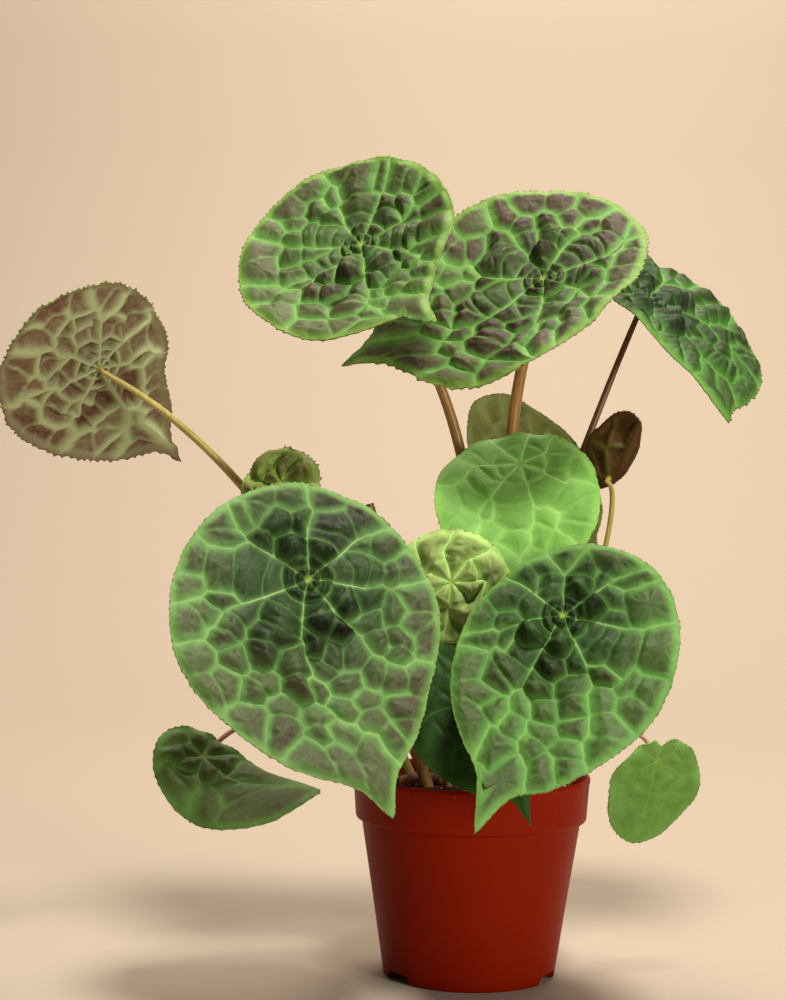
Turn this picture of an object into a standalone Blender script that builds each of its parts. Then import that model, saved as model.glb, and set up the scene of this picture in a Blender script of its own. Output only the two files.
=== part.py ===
"""Potted begonia: a creeping begonia with shield-shaped, quilted leaves in a small plastic nursery pot.

Metres, +Z up. The origin is the middle of the pot's flat foot, and the plant's front looks along -Y.
Each blade, leaf stalk, the rootstock, the soil and the pot is a closed solid of its own.
"""
import math
import random

import bmesh
import bpy
from mathutils import Vector

for old in list(bpy.data.objects):
    bpy.data.objects.remove(old, do_unlink=True)

MM = 0.001
GAP = 0.3 * MM  # clearance between neighbouring pieces

# Pot, a 10 cm nursery pot: radii and heights of its outer wall
POT_HEIGHT = 83.8 * MM
RIM_RADIUS = 50.0 * MM
BAND_BOTTOM = 65.2 * MM
BAND_RADIUS = 48.6 * MM
NECK_RADIUS = 45.9 * MM
FOOT_RADIUS = 36.0 * MM
WALL = 1.3 * MM
FLOOR_RISE = 3.6 * MM  # the drained ring of the floor stands this high off the table
FLOOR_THICK = 1.6 * MM
FOOT_DISC_RADIUS = 21.0 * MM
FOOT_RING = 2.1 * MM  # width of the outer ring that touches the table
FLARE = 0.4 * MM  # how far the moulding's corners are rounded
POT_SIDES = 36
NOTCH_WIDTH = 15.0 * MM
NOTCH_HEIGHT = 3.9 * MM
NOTCH_ANGLES = (-54.0, 66.0, 186.0)  # degrees round from the front, towards +X
DRAIN_RADIUS = 3.4 * MM
DRAIN_COUNT = 6

# Soil
SOIL_EDGE = 77.0 * MM
SOIL_MOUND = 2.4 * MM
SOIL_ROUGHNESS = 1.0 * MM

# Rootstock, lying half sunk in the soil
ROOTSTOCK_RADIUS = 4.3 * MM
ROOTSTOCK_LIFT = 0.6 * MM
ROOTSTOCK_PATH = ((-31, -3), (-24, -1), (-16, -2), (-8, 0), (0, -1), (5, 0))
ROOTSTOCK_KNOBS = (0.72, 1.06, 0.94, 1.1, 0.96, 0.7)  # thicker at the old leaf scars
HOLE_PLAY = 1.15 * GAP  # a faceted hole is a little wider than GAP all round
STALK_FOOT = 71.0 * MM  # height of the stalks' lower ends, in their holes
STALK_NECK = 2.0 * MM  # the last stretch below the blade is square to it
STALK_STEPS = 9
STUB_STEPS = 7

# Blades
BLADE_THICK = 0.8 * MM
VEIN_RINGS = (0.10, 0.20, 0.31, 0.43, 0.56, 0.71, 0.86, 1.0)
FORK_RINGS = (2, 4)  # rings where every vein has just split in two
SMALL_RINGS = (0.14, 0.32, 0.54, 0.78, 1.0)
MID_RINGS = (0.12, 0.25, 0.40, 0.58, 0.78, 1.0)
WIDE_RINGS = (0.11, 0.22, 0.35, 0.50, 0.66, 0.83, 1.0)
VEIN_CROWD = 0.22  # how far the veins lean away from the tip, in radians at most
JITTER_OUT = 0.3  # scatter of the net's knots, as shares of the first ring's gap
JITTER_ROUND = 0.16
PUFF = 0.32  # height of a cell's crown as a share of its half width
PUFF_MAX = 2.6 * MM
MARGIN_PUFF = 0.45  # share of that height left in the cells along the margin
TOOTH = 0.008  # scallop of the margin as a share of its radius
RIM_WAVE = 0.9 * MM
RIM_WAVES = 7
# Outline of a blade, in radians from the midrib: where it narrows before the tip and over what spread,
# the spread of a notch at the back, and that of the tip's sideways turn
NARROW_AT = 0.62
NARROW_SPREAD = 0.45
NOTCH_SPREAD = 0.22
TURN_SPREAD = 0.5
TIP_POINT = 1.35  # 1 is a needle, 2 a rounded tip


def new_object(name, data, material):
    obj = bpy.data.objects.new(name, data)
    data.materials.append(material)
    bpy.context.scene.collection.objects.link(obj)
    return obj


def plain_material(name, rgb, roughness):
    mat = bpy.data.materials.new(name)
    mat.use_nodes = True
    shader = mat.node_tree.nodes["Principled BSDF"]
    shader.inputs["Base Color"].default_value = (*rgb, 1.0)
    shader.inputs["Roughness"].default_value = roughness
    shader.inputs["Metallic"].default_value = 0.0
    mat.diffuse_color = (*rgb, 1.0)
    return mat


def hide_cutter(obj):
    obj.hide_render = True
    obj.display_type = "WIRE"


def as_mesh(obj):
    """The same bar as a mesh object, which a cut needs in place of a curve."""
    name = obj.name
    mesh = bpy.data.meshes.new_from_object(obj.evaluated_get(bpy.context.evaluated_depsgraph_get()))
    bpy.data.objects.remove(obj, do_unlink=True)
    solid = bpy.data.objects.new(name, mesh)
    bpy.context.scene.collection.objects.link(solid)
    return solid


def cut(target, cutter):
    mod = target.modifiers.new("cut_" + cutter.name, "BOOLEAN")
    mod.operation = "DIFFERENCE"
    mod.solver = "EXACT"
    mod.object = cutter


def turned(name, profile, material):
    """A closed (radius, height) profile turned about Z; points on the axis are merged into poles."""
    bm = bmesh.new()
    points = [bm.verts.new((radius, 0.0, height)) for radius, height in profile]
    edges = [bm.edges.new(pair) for pair in zip(points, points[1:])]
    if profile[0][0] > 0 or profile[-1][0] > 0:
        edges.append(bm.edges.new((points[-1], points[0])))
    bmesh.ops.spin(bm, geom=points + edges, cent=(0, 0, 0), axis=(0, 0, 1), angle=2 * math.pi,
                   steps=POT_SIDES, use_merge=True, use_duplicate=False)
    bmesh.ops.remove_doubles(bm, verts=bm.verts, dist=1e-6)
    bmesh.ops.recalc_face_normals(bm, faces=bm.faces)
    mesh = bpy.data.meshes.new(name)
    bm.to_mesh(mesh)
    bm.free()
    mesh.shade_smooth()
    mesh.set_sharp_from_angle(angle=math.radians(35))
    return new_object(name, mesh, material)


def round_bar(name, radius, depth, place):
    """A plain cylinder used as a cutter."""
    bm = bmesh.new()
    bmesh.ops.create_cone(bm, cap_ends=True, segments=16, radius1=radius, radius2=radius, depth=depth)
    mesh = bpy.data.meshes.new(name)
    bm.to_mesh(mesh)
    bm.free()
    obj = bpy.data.objects.new(name, mesh)
    bpy.context.scene.collection.objects.link(obj)
    obj.location = place
    return obj


# Pot: one moulded shell, with a stepped-out rim band, a foot ring and a drained floor
def wall_radius(height):
    """Outer radius of the tapered wall under the rim band."""
    share = height / BAND_BOTTOM
    return FOOT_RADIUS + (NECK_RADIUS - FOOT_RADIUS) * share


def pot_profile():
    floor_top = FLOOR_RISE + FLOOR_THICK
    return (
        (0, 0),
        (FOOT_DISC_RADIUS, 0),
        (FOOT_DISC_RADIUS + 1.6 * MM, FLOOR_RISE),
        (FOOT_RADIUS - FOOT_RING - 0.5 * MM, FLOOR_RISE),
        (FOOT_RADIUS - FOOT_RING, 0),
        (FOOT_RADIUS - FLARE, 0),
        (wall_radius(2 * FLARE), 2 * FLARE),
        (NECK_RADIUS, BAND_BOTTOM - 0.2 * MM),
        (BAND_RADIUS - 2 * FLARE, BAND_BOTTOM),
        (BAND_RADIUS, BAND_BOTTOM + 1.0 * MM),
        (RIM_RADIUS, POT_HEIGHT - 2 * FLARE),
        (RIM_RADIUS - FLARE, POT_HEIGHT),
        (RIM_RADIUS - WALL, POT_HEIGHT),
        (BAND_RADIUS - WALL, BAND_BOTTOM + WALL),
        (NECK_RADIUS - WALL, BAND_BOTTOM - 0.6 * MM),
        (wall_radius(floor_top + 1.0 * MM) - WALL, floor_top + 1.0 * MM),
        (FOOT_RADIUS - 2.6 * MM, floor_top),
        (FOOT_DISC_RADIUS + 3.4 * MM, floor_top),
        (FOOT_DISC_RADIUS + 1.0 * MM, FLOOR_THICK),
        (0, FLOOR_THICK),
    )


def around(radius, degrees, height):
    """A place round the pot, counted from the front towards +X."""
    turn = math.radians(degrees)
    return Vector((radius * math.sin(turn), -radius * math.cos(turn), height))


def build_pot():
    pot = turned("pot", pot_profile(), plain_material("moulded_polypropylene", (0.33, 0.045, 0.016), 0.42))
    for index, degrees in enumerate(NOTCH_ANGLES):
        bm = bmesh.new()
        bmesh.ops.create_cube(bm, size=1.0)
        bmesh.ops.scale(bm, vec=(NOTCH_WIDTH, 8 * MM, 2 * NOTCH_HEIGHT), verts=bm.verts)
        upper = [e for e in bm.edges
                 if all(v.co.z > 0 for v in e.verts) and e.verts[0].co.x * e.verts[1].co.x > 0
                 and abs(e.verts[0].co.y - e.verts[1].co.y) > 1 * MM]
        bmesh.ops.bevel(bm, geom=upper, offset=3.0 * MM, offset_type="OFFSET", segments=3, profile=0.5,
                        affect="EDGES", material=-1)
        mesh = bpy.data.meshes.new("notch_cutter")
        bm.to_mesh(mesh)
        bm.free()
        notch = bpy.data.objects.new(f"cutter_notch_{index}", mesh)
        bpy.context.scene.collection.objects.link(notch)
        notch.location = around(FOOT_RADIUS + 1.0 * MM, degrees, 0)
        notch.rotation_euler.z = math.radians(degrees)
        hide_cutter(notch)
        cut(pot, notch)
    for index in range(DRAIN_COUNT):
        place = around(FOOT_RADIUS - 7.6 * MM, NOTCH_ANGLES[0] + 360 / DRAIN_COUNT * index, FLOOR_RISE)
        drain = round_bar(f"cutter_drain_{index}", DRAIN_RADIUS, 8 * MM, place)
        hide_cutter(drain)
        cut(pot, drain)
    return pot


# Soil: one solid of peat inside the pot, with a plain hole for each stalk
def soil_height(radius):
    share = radius / (BAND_RADIUS - WALL)
    return SOIL_EDGE + SOIL_MOUND * (1 - share * share)


def soil_profile():
    bottom = FLOOR_RISE + FLOOR_THICK + GAP
    edge = RIM_RADIUS - WALL - GAP
    band = BAND_RADIUS - WALL - GAP
    slope = (edge - band) / (POT_HEIGHT - BAND_BOTTOM - WALL)
    top_radius = band + slope * (SOIL_EDGE - BAND_BOTTOM - WALL)
    corner = bottom + 1.6 * MM
    outer = [
        (0, bottom),
        (FOOT_RADIUS - 3.2 * MM, bottom),
        (wall_radius(corner) - WALL - 0.4 * MM, corner),
        (NECK_RADIUS - WALL - 0.4 * MM, BAND_BOTTOM - 0.4 * MM),
        (band, BAND_BOTTOM + WALL + 0.2 * MM),
        (top_radius, SOIL_EDGE),
    ]
    rings = [top_radius * share for share in (0.8, 0.6, 0.4, 0.2)]
    return outer + [(radius, soil_height(radius)) for radius in rings] + [(0, soil_height(0))]


def build_soil():
    soil = turned("soil", soil_profile(), plain_material("peat_potting_soil", (0.035, 0.018, 0.012), 0.95))
    rng = random.Random(11)
    for vertex in soil.data.vertices:
        if vertex.co.z > SOIL_EDGE + 0.1 * MM:
            vertex.co.z += rng.uniform(-SOIL_ROUGHNESS, SOIL_ROUGHNESS)
    return soil


# Stalks and rootstock: tapered round bars along smooth curves
def bar_along(name, points, radii, material, sides=2):
    """A tapered bar with filled ends through the given points."""
    curve = bpy.data.curves.new(name, "CURVE")
    curve.dimensions = "3D"
    curve.bevel_depth = 1.0
    curve.bevel_resolution = sides
    curve.use_fill_caps = True
    spline = curve.splines.new("POLY")
    spline.points.add(len(points) - 1)
    for knot, point, radius in zip(spline.points, points, radii):
        knot.co = (*point, 1.0)
        knot.radius = radius
    return new_object(name, curve, material)


def bezier(p0, p1, p2, p3, share):
    rest = 1 - share
    return p0 * rest**3 + p1 * 3 * rest**2 * share + p2 * 3 * rest * share**2 + p3 * share**3


def build_rootstock(soil):
    mat = plain_material("rootstock_bark", (0.16, 0.07, 0.035), 0.75)
    points = [Vector((x * MM, y * MM, soil_height(abs(x) * MM) + ROOTSTOCK_LIFT)) for x, y in ROOTSTOCK_PATH]
    radii = [ROOTSTOCK_RADIUS * knob for knob in ROOTSTOCK_KNOBS]
    bar_along("rootstock", points, radii, mat)
    first = points[0] + (points[0] - points[1]).normalized() * GAP
    last = points[-1] + (points[-1] - points[-2]).normalized() * GAP
    route = [first] + points[1:-1] + [last]
    trough = as_mesh(bar_along("cutter_rootstock", route, [r + HOLE_PLAY for r in radii], mat))
    hide_cutter(trough)
    cut(soil, trough)


def facing_frame(facing, rise, roll):
    """Blade axes: towards the tip, across to the left, and the upper side's normal."""
    turn, lift, spin = (math.radians(angle) for angle in (facing, rise, roll))
    normal = Vector((math.sin(turn) * math.cos(lift), -math.cos(turn) * math.cos(lift), math.sin(lift)))
    down = Vector((0, 0, -1))
    slope = (down - normal * down.dot(normal)).normalized()
    side = normal.cross(slope)
    tip_way = slope * math.cos(spin) + side * math.sin(spin)
    return tip_way, normal.cross(tip_way), normal


def rolled(along, height, curvature):
    """A point at a height above a flat strip, once the strip is bent to a circle's arc."""
    if abs(curvature) < 1e-6:
        return along, height
    radius = 1 / curvature + height
    return radius * math.sin(curvature * along), radius * math.cos(curvature * along) - 1 / curvature


class Leaf:
    """One leaf: where its stalk joins the blade, which way it faces, its outline and its bends.

    umbo is in millimetres. facing and rise turn the upper side away from the front and upwards, roll turns
    the tip away from straight down. width is the blade's full width in millimetres. The other outline terms
    are shares of half the width: offset of the round part's middle past the umbo, skew to the side, its
    stretch, narrowing before the tip, and the drip tip's reach, spread and sideways turn. droop and fold
    are the curvatures along and across the midrib, per metre. The stalk starts at foot in the soil, leaves
    it along lean, and comes to the umbo from reach behind the blade; thick is its radius at both ends.
    """

    def __init__(self, name, umbo, facing, rise, roll, width, offset=0.4, skew=0.0, stretch=1.1, narrow=0.05,
                 tip=0.3, spread=0.1, turn=0.0, notch=0.0, droop=0.0, fold=0.0, veins=8, rings=VEIN_RINGS,
                 forks=FORK_RINGS, foot=(0, 0), lean=(0, 0, 60), reach=30, thick=(2.4, 1.7)):
        self.name = name
        self.umbo = Vector(umbo) * MM
        self.axes = facing_frame(facing, rise, roll)
        self.half = width / 2 * MM
        self.outline = (offset, skew, stretch, narrow, tip, spread, turn, notch)
        self.droop = droop
        self.fold = fold
        self.veins = veins
        self.rings = rings
        self.forks = forks
        self.foot = Vector((foot[0] * MM, foot[1] * MM, STALK_FOOT))
        self.lean = Vector(lean) * MM
        self.reach = reach * MM
        self.thick = [radius * MM for radius in thick]

    def flat(self, angle, share):
        """Blade plane point at an angle from the tip and a share of the way out to the margin."""
        offset, skew, stretch, narrow, tip, spread, turn, notch = self.outline
        c, s = math.cos(angle), math.sin(angle)
        q = (c / stretch) ** 2 + s * s
        b = offset * c / stretch**2 + skew * s
        inside = b * b - q * ((offset / stretch) ** 2 + skew * skew - 1)
        radius = (b + math.sqrt(max(inside, 1e-6))) / q
        radius *= 1 - narrow * math.exp(-(((abs(angle) - NARROW_AT) / NARROW_SPREAD) ** 2))
        radius *= 1 - notch * share**3 * math.exp(-(((abs(angle) - math.pi) / NOTCH_SPREAD) ** 2))
        radius += tip * share**5 * math.exp(-((abs(angle) / spread) ** TIP_POINT))
        angle += turn * share**2 * math.exp(-((angle / TURN_SPREAD) ** 2))
        return Vector((math.cos(angle), math.sin(angle), 0)) * radius * share * self.half

    def bent(self, point):
        """The flat point (x, y, height) on the drooping, folded blade, in the plant's frame."""
        x, y, z = point
        y, z = rolled(y, z, self.fold)
        x, z = rolled(x, z, self.droop)
        tip_way, side, normal = self.axes
        return self.umbo + tip_way * x + side * y + normal * z


def vein_net(leaf):
    """A flat disc of radius 1 whose faces are the cells between the veins, the tip on +X."""
    bm = bmesh.new()
    bmesh.ops.create_circle(bm, cap_ends=True, cap_tris=True, segments=leaf.veins, radius=leaf.rings[0])
    count = leaf.veins
    counts = [count]
    for index, radius in enumerate(leaf.rings[1:], start=1):
        border = [e for e in bm.edges if e.is_boundary]
        if index in leaf.forks:
            bmesh.ops.subdivide_edges(bm, edges=border, cuts=1)
            border = [e for e in bm.edges if e.is_boundary]
            count *= 2
        grown = bmesh.ops.extrude_edge_only(bm, edges=border)["geom"]
        for vertex in (v for v in grown if isinstance(v, bmesh.types.BMVert)):
            vertex.co = vertex.co.normalized() * radius
        counts.append(count)
    drop = []
    for edge in bm.edges:
        reach = [v.co.length for v in edge.verts]
        rings = [min(range(len(leaf.rings)), key=lambda k: abs(r - leaf.rings[k])) for r in reach]
        ring = rings[0]
        on_ring = rings[0] == rings[1] and min(reach) > 0.5 * leaf.rings[0]
        if not on_ring or ring in (0, len(leaf.rings) - 1) or ring + 1 in leaf.forks:
            continue
        middle = (edge.verts[0].co + edge.verts[1].co) / 2
        sector = int((math.atan2(middle.y, middle.x) % (2 * math.pi)) / (2 * math.pi) * counts[ring])
        if (sector + ring) % 2:
            drop.append(edge)
    bmesh.ops.dissolve_edges(bm, edges=drop, use_verts=False)
    bmesh.ops.subdivide_edges(bm, edges=[e for e in bm.edges if e.is_boundary], cuts=1)
    return bm


def build_blade(leaf, material):
    rng = random.Random(leaf.name)
    bm = vein_net(leaf)
    ring_gap = leaf.rings[1] - leaf.rings[0]
    order = sorted(bm.verts, key=lambda v: (round(v.co.length, 3), round(math.atan2(v.co.y, v.co.x), 3)))
    margin = {v for v in bm.verts if v.is_boundary}
    for vertex in order:
        share = vertex.co.length
        angle = math.atan2(vertex.co.y, vertex.co.x)
        if vertex in margin:
            share = 1.0
            if abs(angle) > 1e-3:
                share += TOOTH * (-1) ** round(angle / math.pi * len(margin) / 2)
        elif share > 0.5 * leaf.rings[0]:
            share += rng.uniform(-JITTER_OUT, JITTER_OUT) * ring_gap
            angle += rng.uniform(-JITTER_ROUND, JITTER_ROUND) * ring_gap / share
        angle -= VEIN_CROWD * math.sin(angle)
        vertex.co = leaf.flat(angle, share)
    crowns = bmesh.ops.poke(bm, faces=[f for f in bm.faces if len(f.verts) > 3], center_mode="MEAN")["verts"]
    for crown in crowns:
        spokes = crown.link_edges
        spread = sum(e.calc_length() for e in spokes) / len(spokes)
        near_margin = any(e.other_vert(crown) in margin for e in spokes)
        crown.co.z = min(PUFF_MAX, PUFF * spread) * (MARGIN_PUFF if near_margin else 1.0)
    for vertex in margin:
        angle = math.atan2(vertex.co.y, vertex.co.x)
        vertex.co.z = RIM_WAVE * math.sin(RIM_WAVES * angle + leaf.umbo.x / MM)
    bmesh.ops.triangulate(bm, faces=bm.faces)
    for vertex in bm.verts:
        vertex.co = leaf.bent(vertex.co)
    bmesh.ops.recalc_face_normals(bm, faces=bm.faces)
    bm.faces.ensure_lookup_table()
    if bm.faces[0].normal.dot(leaf.axes[2]) < 0:
        bmesh.ops.reverse_faces(bm, faces=bm.faces)
    mesh = bpy.data.meshes.new(leaf.name)
    bm.to_mesh(mesh)
    bm.free()
    mesh.shade_smooth()
    blade = new_object(leaf.name + "_blade", mesh, material)
    skin = blade.modifiers.new("thickness", "SOLIDIFY")
    skin.thickness = BLADE_THICK
    skin.offset = 0.0
    return blade


def build_stalk(leaf, material, soil):
    normal = leaf.axes[2]
    seat = leaf.umbo - normal * (BLADE_THICK / 2 + GAP)
    neck = seat - normal * STALK_NECK
    p1 = leaf.foot + leaf.lean
    p2 = seat - normal * leaf.reach
    points = [bezier(leaf.foot, p1, p2, neck, step / STALK_STEPS) for step in range(STALK_STEPS + 1)] + [seat]
    wide, slim = leaf.thick
    radii = [wide + (slim - wide) * step / STALK_STEPS for step in range(STALK_STEPS + 1)] + [slim]
    sides = 2 if wide > 1.5 * MM else 1
    bar_along(leaf.name + "_stalk", points, radii, material, sides)
    stand_in_soil(leaf.name, points[:4], radii[:4], soil, sides)


def stand_in_soil(name, points, radii, soil, sides):
    """The plain hole that a stalk's foot stands in."""
    below = points[0] + (points[0] - points[1]).normalized() * GAP
    hole = bar_along("cutter_" + name, [below] + points[1:], [r + HOLE_PLAY for r in radii],
                     soil.data.materials[0], sides)
    hole = as_mesh(hole)
    hide_cutter(hole)
    cut(soil, hole)


LEAVES = (
    Leaf("leaf_front_left", umbo=(-64, -75, 167.5), facing=19, rise=24.5, roll=5.5, width=107.5, offset=0.39,
         skew=-0.06, stretch=1.15, narrow=0.09, tip=0.30, spread=0.064, turn=0.15,
         foot=(-16, -11), lean=(-14, -2, 60), reach=26, thick=(2.6, 1.9)),
    Leaf("leaf_front_right", umbo=(34.5, -66, 155), facing=-9, rise=29.5, roll=-25, width=85, offset=0.47,
         skew=0.23, stretch=1.30, narrow=0.05, tip=0.51, spread=0.063, turn=0.16, droop=-1, fold=-2,
         foot=(14, -10), lean=(6, 2, 50), reach=28, thick=(2.5, 1.8)),
    Leaf("leaf_upper_left", umbo=(-49, -12, 305), facing=-25, rise=35, roll=21, width=96.5, offset=0.15,
         skew=-0.10, stretch=1.14, narrow=0.05, tip=0.59, spread=0.050, turn=0.40, droop=-4.8, fold=-8,
         foot=(-6, 9), lean=(25, 17, 155), reach=54, thick=(2.6, 2.0)),
    Leaf("leaf_upper_right", umbo=(27, -12, 291.5), facing=-21, rise=39, roll=-39, width=97.5, offset=0.24,
         skew=-0.11, stretch=1.25, narrow=0, tip=0.38, spread=0.072, turn=-0.40, droop=2.4, fold=-8,
         foot=(15, 6), lean=(-12, 17, 190), reach=10, thick=(2.8, 2.2)),
    Leaf("leaf_far_left", umbo=(-157, -20, 251.5), facing=-128, rise=34, roll=-50, width=79, offset=0.15,
         skew=0.12, stretch=1.40, narrow=0.15, tip=0.43, spread=0.050, turn=-0.13, droop=1.7, fold=-9,
         foot=(-22, 8), lean=(-62, 15, 150), reach=9, thick=(2.4, 1.6)),
    Leaf("leaf_far_right", umbo=(73, 24, 288), facing=51, rise=48.5, roll=13.5, width=91.5, offset=0.26,
         skew=0.30, stretch=1.04, narrow=0, tip=0.34, spread=0.132, turn=-0.35, droop=4.9, fold=-0.8,
         rings=WIDE_RINGS, foot=(6, 15), lean=(-5, 0, 40), reach=8, thick=(2.2, 1.5)),
    Leaf("leaf_young_middle", umbo=(18.5, -9, 214.5), facing=-11, rise=40, roll=20, width=68, offset=0.51,
         skew=-0.16, stretch=1.07, narrow=0.01, tip=0.15, spread=0.122, turn=0.02, droop=8, fold=-5,
         rings=MID_RINGS, forks=(2,), foot=(14, -1), lean=(2, 6, 70), reach=25, thick=(2.0, 1.4)),
    Leaf("leaf_young_curled", umbo=(-9, -40, 166), facing=0, rise=4, roll=-8, width=56, offset=0.35,
         stretch=1.12, tip=0.2, spread=0.14, droop=9, fold=10,
         rings=MID_RINGS, forks=(2,), foot=(0, -10), lean=(0, 0, 50), reach=15, thick=(1.7, 1.2)),
    Leaf("leaf_low_middle", umbo=(5.5, -54, 121), facing=-10, rise=25, roll=23, width=67, offset=0.35,
         stretch=1.08, tip=0.15, spread=0.12, droop=2, fold=3,
         rings=MID_RINGS, forks=(2,), foot=(6, -15), lean=(0, 0, 26), reach=14, thick=(1.8, 1.3)),
    Leaf("leaf_back", umbo=(17.5, 62, 213.5), facing=135, rise=31, roll=-32, width=64.5, offset=0.19,
         skew=-0.30, stretch=1.25, narrow=0.03, tip=0.39, spread=0.127, droop=-1.2, fold=-0.8,
         rings=MID_RINGS, forks=(2,), foot=(-3, 18), lean=(0, 6, 80), reach=20, thick=(2.0, 1.4)),
    Leaf("leaf_small_red", umbo=(56, 4, 209), facing=160, rise=20, roll=190, width=20, offset=1.2,
         stretch=1.9, tip=0.12, spread=0.14, droop=-8, fold=-50, veins=6,
         rings=SMALL_RINGS, forks=(2,), foot=(23, 5), lean=(51, 8, 148), reach=8, thick=(1.3, 0.9)),
    Leaf("leaf_small_crinkled", umbo=(-79.5, -28, 204), facing=-10, rise=22, roll=-28, width=33, offset=0.3,
         stretch=1.1, tip=0.2, spread=0.14, droop=12, fold=14, veins=6,
         rings=SMALL_RINGS, forks=(2,), foot=(-14, 9), lean=(-10, 0, 70), reach=20, thick=(1.5, 1.0)),
    Leaf("leaf_low_left", umbo=(-107.5, -45, 94.5), facing=25, rise=40, roll=33, width=36, offset=0.44,
         skew=-0.30, stretch=1.40, narrow=0, tip=1.0, spread=0.55, turn=0.40, droop=-14, fold=14, veins=6,
         rings=SMALL_RINGS, forks=(2,), foot=(-27, -8), lean=(-61, -4, 71), reach=12, thick=(1.2, 0.9)),
    Leaf("leaf_low_right", umbo=(76, -20, 93.5), facing=25, rise=-21, roll=-2, width=43, offset=0.65,
         skew=0.09, stretch=1.12, narrow=0.04, tip=0.05, spread=0.137, turn=-0.07, notch=0.35, droop=0.7,
         fold=0.7, veins=6,
         rings=SMALL_RINGS, forks=(2,), foot=(25, -7), lean=(47, -5, 54), reach=6, thick=(1.0, 0.7)),
)
# A leafless, cut-off old stalk: foot, middle handles and top
STUB = ((-8, -11, 71), (-14, -12, 110), (-34, -14, 160), (-44, -15, 197))
STUB_RADII = (1.9 * MM, 1.7 * MM)
BLADE_COLOURS = {
    "leaf_far_left": (0.16, 0.07, 0.05),
    "leaf_small_red": (0.09, 0.02, 0.02),
    "leaf_young_middle": (0.12, 0.30, 0.05),
    "leaf_young_curled": (0.18, 0.33, 0.07),
    "leaf_low_right": (0.10, 0.24, 0.04),
    "leaf_back": (0.16, 0.25, 0.09),
}
MATURE_GREEN = (0.07, 0.18, 0.04)
STALK_COLOUR = (0.24, 0.13, 0.03)


def build_stub(material, soil):
    p0, p1, p2, p3 = (Vector(point) * MM for point in STUB)
    points = [bezier(p0, p1, p2, p3, step / STUB_STEPS) for step in range(STUB_STEPS + 1)]
    wide, slim = STUB_RADII
    radii = [wide + (slim - wide) * step / STUB_STEPS for step in range(STUB_STEPS + 1)]
    bar_along("stub_stalk", points, radii, material)
    stand_in_soil("stub", points[:4], radii[:4], soil, 2)


build_pot()
potting = build_soil()
build_rootstock(potting)
stalk_skin = plain_material("begonia_stalk", STALK_COLOUR, 0.5)
for one in LEAVES:
    build_blade(one, plain_material(one.name + "_skin", BLADE_COLOURS.get(one.name, MATURE_GREEN), 0.5))
    build_stalk(one, stalk_skin, potting)
build_stub(stalk_skin, potting)
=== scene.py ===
# Potted begonia: the finish of every piece, in metres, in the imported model's own frame.
import math
import random

import bmesh
import bpy
import numpy as np
from mathutils import Matrix, Vector, noise


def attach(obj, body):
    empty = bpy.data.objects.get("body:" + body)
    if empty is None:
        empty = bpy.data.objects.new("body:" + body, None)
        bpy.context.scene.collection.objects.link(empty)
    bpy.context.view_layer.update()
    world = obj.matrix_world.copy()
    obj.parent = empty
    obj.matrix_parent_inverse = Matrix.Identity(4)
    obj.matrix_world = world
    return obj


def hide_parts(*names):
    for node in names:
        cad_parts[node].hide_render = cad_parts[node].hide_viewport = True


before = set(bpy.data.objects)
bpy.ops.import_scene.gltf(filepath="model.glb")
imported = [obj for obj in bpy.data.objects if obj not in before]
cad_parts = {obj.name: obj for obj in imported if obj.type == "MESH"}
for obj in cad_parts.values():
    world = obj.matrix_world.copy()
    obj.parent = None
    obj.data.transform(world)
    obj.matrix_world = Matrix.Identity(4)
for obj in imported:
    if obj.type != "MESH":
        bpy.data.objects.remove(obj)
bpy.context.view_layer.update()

MM = 0.001

# Camera: a longer lens 80 cm in front of the pot's middle and level with the young leaves' lowest tips.
# It is turned a little to the left and tilted sideways by under a degree, as the photograph is.
PHOTO_HEIGHT = 1000
FOCAL_PIXELS = 1892
CAMERA_PLACE = (0.0, -0.80, 0.1987)
CAMERA_TURN = math.radians(-2.50)
CAMERA_ROLL = math.radians(0.88)

eye = bpy.data.cameras.new("front_camera")
eye.sensor_width = 36.0
eye.lens = FOCAL_PIXELS * eye.sensor_width / PHOTO_HEIGHT
camera = bpy.data.objects.new("front_camera", eye)
bpy.context.scene.collection.objects.link(camera)
ahead = Vector((math.sin(CAMERA_TURN), math.cos(CAMERA_TURN), 0))
level = Vector((math.cos(CAMERA_TURN), -math.sin(CAMERA_TURN), 0))
upright = Vector((0, 0, 1))
right = level * math.cos(CAMERA_ROLL) + upright * math.sin(CAMERA_ROLL)
above = upright * math.cos(CAMERA_ROLL) - level * math.sin(CAMERA_ROLL)
camera.matrix_world = Matrix.Translation(CAMERA_PLACE) @ Matrix((right, above, -ahead)).transposed().to_4x4()
bpy.context.scene.camera = camera


# Studio: a pale warm floor that curves up into a backdrop, a soft key light high in front a little to the right,
# a weaker side light low on the right, and a soft light above that keeps the background even.
def linear(hex_colour):
    """An sRGB hex colour as the linear red, green, blue and alpha that shaders work in."""
    parts = [int(hex_colour[i:i + 2], 16) / 255 for i in (1, 3, 5)]
    return (*(c / 12.92 if c <= 0.04045 else ((c + 0.055) / 1.055) ** 2.4 for c in parts), 1.0)


def add(tree, kind, settings=None, links=None):
    """A node with its own settings, and its sockets set to plain values or joined to other sockets."""
    made = tree.nodes.new(kind)
    for name, value in (settings or {}).items():
        setattr(made, name, value)
    for name, source in (links or {}).items():
        if isinstance(source, bpy.types.NodeSocket):
            tree.links.new(source, made.inputs[name])
        else:
            made.inputs[name].default_value = source
    return made


def new_material(name, roughness, specular=0.5):
    """An empty Principled material; returns it with its node tree and shader."""
    material = bpy.data.materials.new(name)
    material.use_nodes = True
    shader = material.node_tree.nodes["Principled BSDF"]
    shader.inputs["Roughness"].default_value = roughness
    shader.inputs["Specular IOR Level"].default_value = specular
    return material, material.node_tree, shader


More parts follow.
